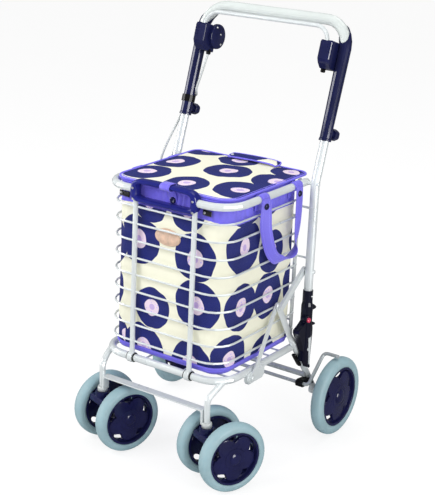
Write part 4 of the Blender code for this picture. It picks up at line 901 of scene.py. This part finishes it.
def bag():
    """Belts that go with the wires, between a front and a rear panel that lean with the frame as it folds."""
    runs = bag_runs()
    edges = [BAG_TOP] + [RIM.z - (k + 0.5) * WIRE_STEP for k in range(10)] + [BAG_BOTTOM]
    whole = [(i, sample[4]) for i, sample in enumerate(BAG_LOOP)] + [(0, BAG_GIRTH)]
    rows = [bag_rows(high, low) for high, low in zip(edges, edges[1:])]
    bag_cloth("bag_band_00", rows[0], [whole], "rim", BAG_TOP)
    bag_cloth("bag_band_10", rows[10], [whole], "chassis", BAG_BOTTOM)
    sides = [runs["right"], runs["left"]]
    lowest = runs["left"] + runs["rear"][1:] + [(i, u + BAG_GIRTH) for i, u in runs["right"][1:]]
    for k, body in enumerate(WIRES, 1):
        bag_cloth(f"bag_band_{k:02d}", rows[k], sides if k < len(WIRES) else [lowest], body, RIM.z - k * WIRE_STEP)
    tall = rows[1] + [z for belt in rows[2:9] for z in belt[1:]]
    bag_cloth("bag_front_panel", tall + rows[9][1:], [runs["front"]], "front_gate")
    bag_cloth("bag_rear_panel", tall, [runs["rear"]], "posts")
    bag_floor()
    trims = [("bag_piping_low", PIPING_Z, whole[:-1:2], "chassis", PIPING_RADIUS, BAG_BOTTOM, 0.12),
             ("bag_hem_top", BAG_TOP - 0.0006, whole[:-1:2], "rim", 0.0016, None, None)]
    for part, body in (("right", "wire_1"), ("left", "wire_1"), ("front", "front_gate"), ("rear", "posts")):
        anchor_z = RIM.z - WIRE_STEP if body == "wire_1" else None
        trims.append((f"bag_band_seam_{part}", BAND_LOW, runs[part], body, 0.0009, anchor_z, BELT_KEEP))
    for name, z, run, body, radius, anchor_z, keep in trims:
        samples = [BAG_LOOP[i] for i, _ in run]
        path = [bag_point(sample, z) + Vector((sample[2], sample[3], 0)) * radius * 0.5 for sample in samples]
        trim = tube(name, path, radius, "binding", body, around=8, closed="seam" not in name)
        if anchor_z:
            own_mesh(trim)


def bag_floor():
    """A stiff board in the bottom of the bag."""
    z = BAG_BOTTOM
    points = []
    shares = [1.0, 0.93, 0.7, 0.4, 0.12]
    centre = Vector((0, rear_y(z) - REACH / 2, z))
    for share in shares:
        for sample in BAG_LOOP:
            point = centre + (bag_point(sample, z) - centre) * share
            point.z = z + 0.0002 + 0.0010 * (1 - share)
            points.append(point)
    rings, around = len(shares), len(BAG_LOOP)
    faces = ring_faces(rings, around, caps=False) + [last_ring(rings, around)]
    obj = solid("bag_floor", points, faces, "lining", "chassis")
    uv_by_point(obj, [(point.x, point.y) for point in points])
    modify(obj, "board", "SOLIDIFY", thickness=CLOTH_THICKNESS, offset=0.0)
    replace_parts(obj, "bag")


# Lid

def lid_outline(grow, z):
    """The lid's rounded outline, grown by a distance."""
    x = LID_X - LID_PIPING + grow
    front = front_y(RIM.z) + LID_FRONT + LID_PIPING - grow
    rear = RIM.y + LID_BEHIND - LID_PIPING + grow
    front_corner, rear_corner = LID_CORNER + grow, LID_REAR_CORNER + grow
    corners = [
        (x - rear_corner, rear - rear_corner, rear_corner, 0.0),
        (-x + rear_corner, rear - rear_corner, rear_corner, pi / 2),
        (-x + front_corner, front + front_corner, front_corner, pi),
        (x - front_corner, front + front_corner, front_corner, pi * 1.5),
    ]
    path = []
    for cx, cy, radius, start in corners:
        for i in range(9):
            turn = start + pi / 2 * i / 8
            path.append(Vector((cx + radius * cos(turn), cy + radius * sin(turn), z)))
    out = []
    for a, b in zip(path, path[1:] + path[:1]):
        pieces = max(1, round((b - a).length / LID_PITCH))
        out += [a + (b - a) * i / pieces for i in range(pieces)]
    return out


def lid():
    """A lightly padded printed panel with a lined underside, sewn to piping all round."""
    outline = lid_outline(0.0, LID_MIDDLE)
    middle_y = (front_y(RIM.z) + LID_FRONT + RIM.y + LID_BEHIND) / 2
    shares = [1.0, 0.985, 0.96, 0.92, 0.86, 0.78, 0.68, 0.56, 0.42, 0.27, 0.12]
    rings, around = len(shares), len(outline)
    points, uvs, faces, looks = [], [], [], []
    for layer in (0, 1):
        for share in shares:
            inward = 1 - share**2.6
            lift = 0.0014 * (share < 1)
            for edge in outline:
                x = edge.x * share
                y = middle_y + (edge.y - middle_y) * share
                puff = noise.noise(Vector((x * 17.0, y * 17.0, 1.7))) * 0.0010 * min(1, (1 - share) * 8)
                pucker = noise.noise(Vector((x * 60.0, y * 60.0, 6.2))) * 0.0005 * min(1, (1 - share) * 20)
                if layer:
                    z = LID_MIDDLE - lift - 0.0004 * inward + 0.3 * pucker
                else:
                    z = LID_MIDDLE + lift + LID_CROWN * 0.62 * inward + puff + pucker
                points.append(Vector((x, y, z)))
                uvs.append((x + 0.021, y + 0.013))
        base = layer * rings * around
        made = ring_faces(rings, around, caps=False) + [last_ring(rings, around)]
        faces += [tuple(base + i for i in face) for face in made]
        looks += [layer] * len(made)
    for j in range(around):
        k = (j + 1) % around
        faces.append((j, k, rings * around + k, rings * around + j))
        looks.append(0)
    obj = piece("lid_panel", points, faces, ["printed_cloth", "lining"])
    obj.data.polygons.foreach_set("material_index", looks)
    uv_by_point(outward(obj), uvs)
    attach(obj, "lid")
    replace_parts(obj, "lid")
    slotted(obj)
    tube("lid_piping", lid_outline(LID_PIPING * 0.35, LID_MIDDLE), LID_PIPING, "binding", "lid", closed=True)
    tube("lid_seam", lid_outline(-0.0040, LID_MIDDLE + 0.0022), 0.0008, "binding", "lid", 6, True)
    lid_flap()
    lid_hinge_tapes()


def lid_flap():
    """A printed opening flap along the lid's rear edge, bound all round, with a pale stud at its end."""
    rear, top, half = RIM.y + LID_BEHIND, LID_LOW + LID_EDGE + 0.0062, 0.0105
    hand = [(-0.046, 0.0130, -0.0010), (-0.030, 0.0125, 0.0004), (0.020, 0.0120, 0.0016), (0.060, 0.0120, 0.0010),
            (0.076, 0.0125, -0.0012)]
    middle = through([(x, rear - ahead, top + rise) for x, ahead, rise in hand], 8)
    across = Vector((0, 1, 0.20)).normalized()
    ribbon("lid_flap", middle, across, half * 2, 0.0020, "printed_cloth", "lid")
    far = [point + across * half for point in middle]
    near = [point - across * half for point in middle]
    ends = [middle[-1] + Vector((0.004, 0, -0.0004)), middle[0] - Vector((0.004, 0, 0.0004))]
    loop = [*far[::4], ends[0], *reversed(near[::4]), ends[1]]
    tube("lid_flap_binding", through(loop, 5, closed=True), 0.0017, "binding", "lid", 8, True)
    screw("lid_flap_stud", middle[3] + Vector((0, 0, 0.0010)), (0, -0.2, 1), 0.0034, "lid", "cable_sheath", "rivet")


def lid_hinge_tapes():
    """Two short tapes on the bag's rear hem, which end under the closed lid."""
    hand = ((-0.0075, RIM.z + 0.0050), (-0.0010, LID_LOW - 0.0008), (0.0120, LID_LOW - 0.0004))
    for side_name, side in SIDES.items():
        path = through([(side * 0.085, RIM.y + y, z) for y, z in hand], 5)
        ribbon(f"lid_hinge_tape_{side_name}", path, (1, 0, 0), 0.022, 0.0008, "tape", "rim")


# Straps and closures

def side_strap(side_name, side):
    """A carrying strap that hangs from two places on the rim, its loop turned flat at the bottom."""
    front, rear = (AXLE.y + y for y in (-0.231, -0.110))
    x = RIM_X + RIM_TUBE + 0.0022
    outward_x = Vector((side, 0, 0))
    hand = [
        (0, -0.2325, 0.002), (0.0006, -0.2325, -0.012), (0, -0.2320, -0.035), (-0.0008, -0.2290, -0.0621),
        (-0.0006, -0.2165, -0.1000), (-0.0010, -0.2020, -0.1240), (-0.0020, -0.1810, -0.1400),
        (-0.0025, -0.1500, -0.1490), (-0.0020, -0.1250, -0.1450), (-0.0012, -0.1120, -0.1310),
        (-0.0006, -0.1115, -0.1050), (-0.0004, -0.1090, -0.0700), (0, -0.1085, -0.035), (0.0006, -0.110, -0.012),
        (0, -0.110, 0.002),
    ]
    path = through([behind_axle(side * (x + out), y, RIM.z + drop) for out, y, drop in hand], 6)
    last = len(path) - 1
    directions = []
    for i in range(len(path)):
        along = i / last
        turned_in = exp(-((along - 0.56) / 0.13) ** 2)
        heading = (path[min(i + 1, last)] - path[max(i - 1, 0)]).normalized()
        flat = heading.cross(outward_x).normalized()
        twist = 0.50 * sin(pi * min(1.0, along / 0.5)) if along < 0.5 else 0.0
        out = max(0.80 * turned_in, twist)
        directions.append((flat * (1 - out) - outward_x * out).normalized())
    strap = ribbon(f"side_strap_{side_name}", path, directions, STRAP_WIDTH, STRAP_THICKNESS, "tape", "rim")
    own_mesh(strap)
    wrap = RIM_TUBE + 0.0012
    for number, y in enumerate((front - 0.002, rear), 1):
        path = [(side * (RIM_X + wrap * c), y, RIM.z + wrap * s) for c, s in circle(16)]
        name = f"side_strap_loop_{side_name}_{number}"
        ribbon(name, path, (0, 1, 0), STRAP_WIDTH + 0.003, 0.0015, "tape", "rim", closed=True)
        place = (side * (x + 0.0014), y, RIM.z - 0.0145)
        snap(f"side_strap_snap_{side_name}_{number}", place, (side, 0, 0), "rim")
    hand = ((RIM_X - RIM_TUBE - 0.0008, 0.001), (RIM_X - RIM_TUBE - 0.0030, -0.006), (BAG_X + 0.0032, -0.014),
            (BAG_X + 0.0032, -0.0270))
    for number, y in enumerate((front - 0.0005, rear + 0.0005), 1):
        path = through([(side * across, y, RIM.z + drop) for across, drop in hand], 4)
        ribbon(f"side_strap_tab_{side_name}_{number}", path, (0, 1, 0), 0.020, 0.0011, "tape", "rim")


def closure_loop():
    """The lid's closing tape, taken round the front handle's top bar and studded to itself."""
    middle = front_y(RIM.z)
    low, high = RIM.z + 0.0148, RIM.z + 0.0250
    half, gap, inset = 0.0110, 0.0016, 0.0030
    hand = [
        (middle + half + gap, high - 0.0010), (middle + half - inset, high + gap), (middle, high + gap + 0.0003),
        (middle - half + inset, high + gap), (middle - half - gap, high - inset), (middle - half - gap, low + inset),
        (middle - half + inset, low - gap), (middle, low - gap - 0.0006), (middle + half - inset, low - gap),
        (middle + half + gap, low + 0.0020),
    ]
    path = through([(0.0065, y, z) for y, z in hand], 4, closed=True)
    ribbon("closure_loop", path, (1, 0, 0), 0.0250, 0.0015, "tape", "front_gate", closed=True)
    tail = ((0.0065, 0.0010, 0.0030), (0.0075, -0.0010, -0.0080), (0.0105, 0.0003, -0.0180), (0.0120, 0.0010, -0.0290))
    path = through([(x, middle + half + y, low + z) for x, y, z in tail], 6)
    ribbon("closure_tail", path, (1, 0.1, 0), 0.0200, 0.0015, "tape", "rim")
    snap("closure_snap", path[-4] + Vector((0, -0.0014, 0)), (0, -1, 0.1), "rim")


def front_tabs():
    """Two dark tapes that hold the bag's band to the rim beside the front handle, with a rivet in each."""
    y, z = front_y(RIM.z - 0.02) + BAG_FRONT_GAP - 0.0045, RIM.z - 0.0185
    for name, low, high, inset in (("right", -0.1245, -0.0985, 0.006), ("left", 0.0880, 0.1090, 0.005)):
        path = through([(low, y + 0.0012, z + 0.0006), ((low + high) / 2, y, z), (high, y + 0.0006, z - 0.0006)], 5)
        ribbon(f"front_tab_{name}", path, (0, 0, 1), 0.0115, 0.0018, "dark_tape", "rim")
        screw(f"front_tab_rivet_{name}", (low + inset, y - 0.0016, z), (0, -1, 0), 0.0028, "rim", kind="rivet")


def blank_patch():
    """A plain stitched oval patch on the bag's front."""
    z_mid, x_mid, wide, tall = 0.4975, 0.0025, 0.0330, 0.0180
    points, uvs, around = [], [], 48
    rings = ((1.0, 0.0), (0.98, 0.0014), (0.90, 0.0018), (0.86, 0.0012), (0.82, 0.0018), (0.3, 0.0022))
    for share, lift in rings:
        for c, s in circle(around):
            x, z = x_mid + wide * share * c, z_mid + tall * share * s
            sample = min(BAG_LOOP, key=lambda s: abs(s[0] - x) if s[3] < -0.99 else 9)
            points.append((x, bag_point(sample, z).y - 0.0004 - lift, z))
            uvs.append((x, z))
    faces = ring_faces(len(rings), around, caps=False) + [last_ring(len(rings), around)]
    uv_by_point(solid("front_patch", points, faces, "patch", "front_gate"), uvs)


# Frame trims

def frame_trims():
    inner, outer, outside = RIM_TUBE + FIT, RIM_TUBE + 0.0017, POST_X + POST_RADIUS - 0.0004
    collar = [(inner, 0.0), (outer, 0.0003), (outer, 0.0025), (inner, 0.0028)]
    for side_name, side in SIDES.items():
        for number, shift in enumerate((-0.0078, 0.0078), 1):
            matrix = frame_on((side * FRONT_TUBE_X + shift - 0.0014, front_y(PIVOT.z), PIVOT.z), (1, 0, 0))
            revolved(f"eye_collar_{side_name}_{number}", collar, 28, matrix, "black_moulding", "chassis",
                     closed=True, slot="black_moulding")
        for name, place, out, radius, body, look in (
            ("rim", (side * outside, RIM.y, RIM.z), side, 0.0048, "posts", "white_enamel"),
            ("post", behind_axle(side * outside, -0.0715, 0.3935), side, 0.0046, "posts", "white_enamel"),
            ("knee", behind_axle(side * 0.1548, -0.158, 0.334), -side, 0.0052, "chassis", "metal"),
            ("stay", behind_axle(side * 0.1733, -0.2636, 0.209), side, 0.0058, "chassis", "white_enamel"),
        ):
            screw(f"{name}_rivet_{side_name}", place, (out, 0, 0), radius, body, look, "rivet")
        for number, rise in enumerate((0.004, -0.0185), 1):
            place = (side * 0.0755, front_y(RIM.z) - 0.0109, RIM.z + rise)
            screw(f"gate_screw_{side_name}_{number}", place, (0, -1, 0), 0.0026, "front_gate")
        leg_bumper(side_name, side)
        fork_details(side_name)
        arm_details(side_name, side)
        housing_details(side_name, side)


def leg_bumper(side_name, side):
    """A soft stop held in front of the rear leg."""
    high, low = behind_axle(side * 0.1645, -0.0940, 0.2040), behind_axle(side * 0.1645, -0.0665, 0.1680)
    axis = (low - high).normalized()
    length = (low - high).length
    forward = Vector((0, -axis.z, axis.y))
    if forward.y > 0:
        forward = -forward
    points = []
    stations = ((0.0, 0.35), (0.04, 0.85), (0.12, 1.0), (0.86, 1.0), (0.95, 0.8), (1.0, 0.35))
    for distance, share in stations:
        centre = high + axis * distance * length
        points += [centre + Vector((0.0062 * share * c, 0, 0)) + forward * 0.0036 * share * s for c, s in circle(16)]
    look = "black_moulding"
    solid(f"leg_bumper_{side_name}", points, ring_faces(len(stations), 16), look, "chassis")
    for number, share in enumerate((0.25, 0.75), 1):
        foot = high + axis * length * share
        path = [foot - forward * 0.0010, foot - forward * 0.0075]
        tube(f"leg_bumper_stem_{side_name}_{number}", path, 0.0030, look, "chassis")


def fork_details(side_name):
    """The light sleeve that the leg enters on top of the fork, and a screw on each of the fork's cheeks."""
    swivel = joint_at(f"caster_{side_name}_swivel")
    profile = [(0.0067, 0.0), (0.0108, 0.0), (0.0108, 0.0085), (0.0098, 0.0105), (0.0067, 0.0110)]
    matrix = frame_on(swivel + Vector((0, 0, 0.0004)), (0, 0, 1))
    revolved(f"fork_collar_{side_name}", profile, 32, matrix, "cable_sheath", "chassis", closed=True,
             slot="white_enamel")
    axis = Vector(JOINTS[f"caster_wheel_{side_name}_outer_roll"]["axis"]).normalized()
    for number, sign in enumerate((-1, 1), 1):
        place = swivel + Vector((0, 0, -0.026)) + axis * sign * 0.0265
        screw(f"fork_screw_{side_name}_{number}", place, axis * sign, 0.0036, f"caster_{side_name}")


def arm_details(side_name, side):
    """Screws on the brake brackets, the disc on the right one and the knob's cap."""
    look = "navy_moulding"
    if side_name == "right":
        centre = arm(-0.1405, 0.2717, 0.0020)
        profile = [(0.0270, 0.0), (0.0270, 0.0014), (0.0255, 0.0022), (0.0235, 0.0026), (0.0120, 0.0030),
                   (0.0110, 0.0034), (0.0001, 0.0035)]
        matrix = frame_on(centre + Vector((0.0001, 0, 0)), (1, 0, 0))
        revolved("disc_cover", profile, 64, matrix, look, "handle", slot=look)
        for number, (along, behind) in enumerate(((0.0185, -0.0120), (0.0060, 0.0050), (-0.0150, 0.0130)), 1):
            place = centre + ARM_UP * along + ARM_BACK * behind + Vector((0.0030, 0, 0))
            screw(f"disc_screw_{number}", place, (1, 0, 0), 0.0028, "handle")
    else:
        for number, (along, behind) in enumerate(((0.281, -0.006), (0.247, -0.010)), 1):
            screw(f"bracket_screw_{number}", arm(0.1452, along, behind), (-1, 0, 0), 0.0030, "handle")
    bracket_block(side_name, side)
    knob = frame_on(arm(side * POST_X, 0.108, 0.0384), ARM_BACK)
    profile = [(0.0088, 0.0), (0.0080, 0.0014), (0.0050, 0.0022), (0.0001, 0.0024)]
    revolved(f"knob_cap_{side_name}", profile, 30, knob, look, f"clamp_knob_{side_name}", slot=look)


def bracket_block(side_name, side):
    """A raised adjuster under the bracket's front with four ribs above it, and the cable's stub below."""
    for name, x, behind, low, high, wide, look in (
        ("block", 0.1590, -0.0255, 0.243, 0.262, 0.0070, "navy_moulding"),
        ("stub", 0.1478, -0.0102, 0.229, 0.240, 0.0042, "black_moulding"),
    ):
        points = []
        for along, share in ((low, 0.8), (low + 0.002, 1.0), (high - 0.002, 1.0), (high, 0.8)):
            for c, s in circle(16):
                out = Vector((c, 0, 0)) + ARM_BACK * s
                square = 1 / max(abs(c), abs(s)) ** 0.7
                points.append(arm(side * x, along, behind) + out * wide * share * square)
        sharp_by_angle(solid(f"bracket_{name}_{side_name}", points, ring_faces(4, 16), look, "handle"), 40)
    for number, along in enumerate((0.2685, 0.2745, 0.2805, 0.2865), 1):
        spine = [arm(side * x, along, -0.0412) for x in (0.1636, 0.1722)]
        sharp_by_angle(tube(f"bracket_rib_{side_name}_{number}", spine, 0.0016, "navy_moulding", "handle"), 40)


def housing_details(side_name, side):
    """A pale tapered slide on the lock housing's collar, and its fasteners."""
    rows = ((-0.0340, 0.0000, 0.0070), (-0.0300, -0.0004, 0.0076), (0.0, -0.0028, 0.0098), (0.0230, -0.0050, 0.0114),
            (0.0270, -0.0046, 0.0112))
    columns, inner, outer = 7, 0.0128, 0.0139
    points = []
    for z, low, high in rows:
        centre = PIVOT.y + POST_OFFSET + z * LEAN
        for radius in (inner, outer):
            for i in range(columns):
                y = low + (high - low) * i / (columns - 1)
                turn = asin(max(-0.98, min(0.98, (y - 0.0005) / outer)))
                points.append((side * (POST_X + radius * cos(turn)), centre + radius * sin(turn), PIVOT.z + z))
    faces = []
    wide = 2 * columns
    for i in range(len(rows) - 1):
        for j in range(columns - 1):
            for base in (0, columns):
                a = i * wide + base + j
                faces.append((a, a + 1, a + wide + 1, a + wide))
        for j in (0, columns - 1):
            a = i * wide + j
            faces.append((a, a + columns, a + wide + columns, a + wide))
    for i in (0, len(rows) - 1):
        for j in range(columns - 1):
            a = i * wide + j
            faces.append((a, a + 1, a + columns + 1, a + columns))
    sharp_by_angle(solid(f"housing_slide_{side_name}", points, faces, "white_enamel", "posts"), 40)
    for name, x, y, z, radius in (("", 0.1930, -0.0770, 0.3401, 0.0028), ("low_", 0.1894, -0.0705, 0.1810, 0.0022)):
        screw(f"housing_{name}screw_{side_name}", behind_axle(side * x, y, z), (side, 0, 0), radius, "posts")


def front_handle():
    """The moulded hand hold as a frame of round-edged bars, in place of the plain cut slab."""
    half_loop = [
        (0.0000, 0.0202, 0.0045), (0.0250, 0.0202, 0.0045), (0.0480, 0.0196, 0.0045), (0.0650, 0.0178, 0.0050),
        (0.0735, 0.0118, 0.0070), (0.0758, 0.0030, 0.0082), (0.0758, -0.0070, 0.0082), (0.0735, -0.0150, 0.0072),
        (0.0650, -0.0190, 0.0052), (0.0480, -0.0196, 0.0047), (0.0250, -0.0196, 0.0047),
    ]
    loop = half_loop + [(0.0, -0.0196, 0.0047)] + [(-x, z, half) for x, z, half in reversed(half_loop[1:])]
    path = through([(x, half, z) for x, z, half in loop], 7, closed=True)
    count, around, depth = len(path), 24, 0.0110
    points = []
    for i, centre in enumerate(path):
        heading = path[(i + 1) % count] - path[i - 1]
        sideways = Vector((heading.z, 0, -heading.x)).normalized()
        for turn in circle(around):
            wide, deep = (copysign(abs(value) ** 0.62, value) for value in turn)
            point = Vector((centre.x, front_y(RIM.z), RIM.z + centre.z)) + sideways * centre.y * wide
            points.append(point + Vector((0, depth * deep, 0)))
    faces = ring_faces(count, around, closed=True)
    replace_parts(solid("front_handle_frame", points, faces, "handle", "front_gate"), "front_handle")


# Brake cable

def cables():
    """The held cable in two lengths, the upper one on the handle."""
    side = SIDES["right"]
    route = [
        (0.1475, 0.2352, -0.0100), (0.1490, 0.2250, -0.0096), (0.1530, 0.2020, -0.0082), (0.1575, 0.1790, -0.0066),
        (0.1620, 0.1600, -0.0046), (0.1640, 0.1510, -0.0030), (0.1655, 0.1450, 0.0010), (0.1682, 0.1410, 0.0070),
        (0.1728, 0.1385, 0.0130), (0.1795, 0.1365, 0.0160), (0.1865, 0.1345, 0.0158), (0.1915, 0.1320, 0.0136),
        (0.1938, 0.1298, 0.0120), (0.1938, 0.1274, 0.0118),
    ]
    path = through([arm(side * x, along, behind) for x, along, behind in route], 5)
    upper = tube("brake_cable_upper_sheath", path, 0.0025, "cable_sheath", "handle", around=12)
    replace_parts(upper, "brake_cable_upper")
    held = [arm(side * (POST_X + 0.0118), along, 0.0118) for along in (0.1274, 0.1190)]
    run = [behind_axle(side * (POST_X + x), y, PIVOT.z + (RIM.z - PIVOT.z) * share) for x, y, share in CABLE_RUN]
    tail = [behind_axle(side * x, y, z) for x, y, z in CABLE_TAIL]
    lower = tube("brake_cable_lower_sheath", through(held + run + tail, 4), 0.0024, "cable_sheath", around=12)
    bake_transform(lower)
    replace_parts(lower, "brake_cable_lower")


# Studio

def camera():
    back = Vector((sin(CAMERA_AZIMUTH) * cos(CAMERA_ELEVATION), -cos(CAMERA_AZIMUTH) * cos(CAMERA_ELEVATION),
                   sin(CAMERA_ELEVATION)))
    right = Vector((cos(CAMERA_AZIMUTH), sin(CAMERA_AZIMUTH), 0))
    up = back.cross(right)
    c, s = cos(CAMERA_ROLL), sin(CAMERA_ROLL)
    data = bpy.data.cameras.new("camera")
    data.lens = CAMERA_LENS
    data.sensor_fit = "AUTO"
    data.sensor_width = 36
    data.clip_end = 30
    obj = placed("camera", data)
    turn = Matrix((right * c + up * s, up * c - right * s, back)).transposed().to_4x4()
    obj.matrix_world = Matrix.Translation(CAMERA_AT) @ turn
    bpy.context.scene.camera = obj


def area_light(name, place, target, size, power, diffuse=True, glossy=True):
    """A soft box. Without diffuse, it is only mirrored in the gloss, as a reflecting board is."""
    data = bpy.data.lights.new(name, "AREA")
    data.shape = "RECTANGLE"
    data.size, data.size_y = size
    data.energy = power
    obj = placed(name, data)
    obj.visible_diffuse = diffuse
    obj.visible_glossy = glossy
    obj.location = place
    obj.rotation_euler = (Vector(target) - Vector(place)).to_track_quat("-Z", "Y").to_euler()


def studio():
    scene = bpy.context.scene
    scene.view_settings.view_transform = "Standard"
    target = (0, -0.02, 0.42)
    area_light("key", (-1.3, -2.2, 2.5), target, (1.4, 1.4), 53, glossy=False)
    area_light("fill", (2.6, -1.2, 1.5), target, (1.2, 1.2), 26)
    area_light("top", (0.2, 0.9, 2.9), target, (1.6, 1.6), 17)
    area_light("sheen_right", (2.5, -0.67, 0.8), (0, -0.02, 0.5), (1.1, 2.2), 120, diffuse=False)
    area_light("sheen_left", (-2.3, -1.22, 0.9), (0, -0.02, 0.5), (0.7, 2.2), 55, diffuse=False)
    world = bpy.data.worlds.new("studio")
    world.use_nodes = True
    scene.world = world
    tree = world.node_tree
    background = tree.nodes["Background"]
    rays = tree.nodes.new("ShaderNodeLightPath")
    strength = 0.62
    for output, change in (("Is Camera Ray", 0.38), ("Is Glossy Ray", -0.47)):
        step = tree.nodes.new("ShaderNodeMath")
        step.operation = "MULTIPLY_ADD"
        tree.links.new(rays.outputs[output], step.inputs[0])
        step.inputs[1].default_value = change
        if isinstance(strength, float):
            step.inputs[2].default_value = strength
        else:
            tree.links.new(strength, step.inputs[2])
        strength = step.outputs["Value"]
    tree.links.new(strength, background.inputs["Strength"])
    background.inputs["Color"].default_value = (1, 1, 1, 1)
    studio_floor()


def studio_floor():
    """A pale floor that takes the shadow and fades to white. It is darker in the gloss."""
    made = Finish("studio_floor", (0.86, 0.86, 0.86), 0.9, Specular_IOR_Level=0.0)
    surface = made.shader.outputs["BSDF"]
    glow = made.node("Emission", {"Color": (1, 1, 1, 1), "Strength": 1.10})
    rays = made.node("LightPath")
    share = made.spread(rays.outputs["Is Camera Ray"], 0.0, 1.0, 0.0, 0.74)
    white = made.node("MixShader", {0: share, 1: surface, 2: glow.outputs["Emission"]})
    dark = made.node("Emission", {"Color": (1, 1, 1, 1), "Strength": 0.12})
    mirrored = made.spread(rays.outputs["Is Glossy Ray"], 0.0, 1.0, 0.0, 0.88)
    dimmed = made.node("MixShader", {0: mirrored, 1: white.outputs["Shader"], 2: dark.outputs["Emission"]})
    made.tree.links.new(dimmed.outputs["Shader"], made.tree.nodes["Material Output"].inputs["Surface"])
    made.paint(made.mixed(made.noise(3.0), (0.85, 0.85, 0.85), (0.88, 0.88, 0.88)))
    size, z = 9.0, -0.0006
    mesh = bpy.data.meshes.new("studio_floor")
    mesh.from_pydata([(-size, -size, z), (size, -size, z), (size, size, z), (-size, size, z)], [], [(0, 1, 2, 3)])
    mesh.materials.append(made.material)
    floor = placed("studio_floor", mesh)


camera()
studio()
dress_cad()
wheels()
bag()
lid()
for side_name, side in SIDES.items():
    side_strap(side_name, side)
closure_loop()
front_tabs()
blank_patch()
frame_trims()
front_handle()
cables()

bpy.context.view_layer.update()
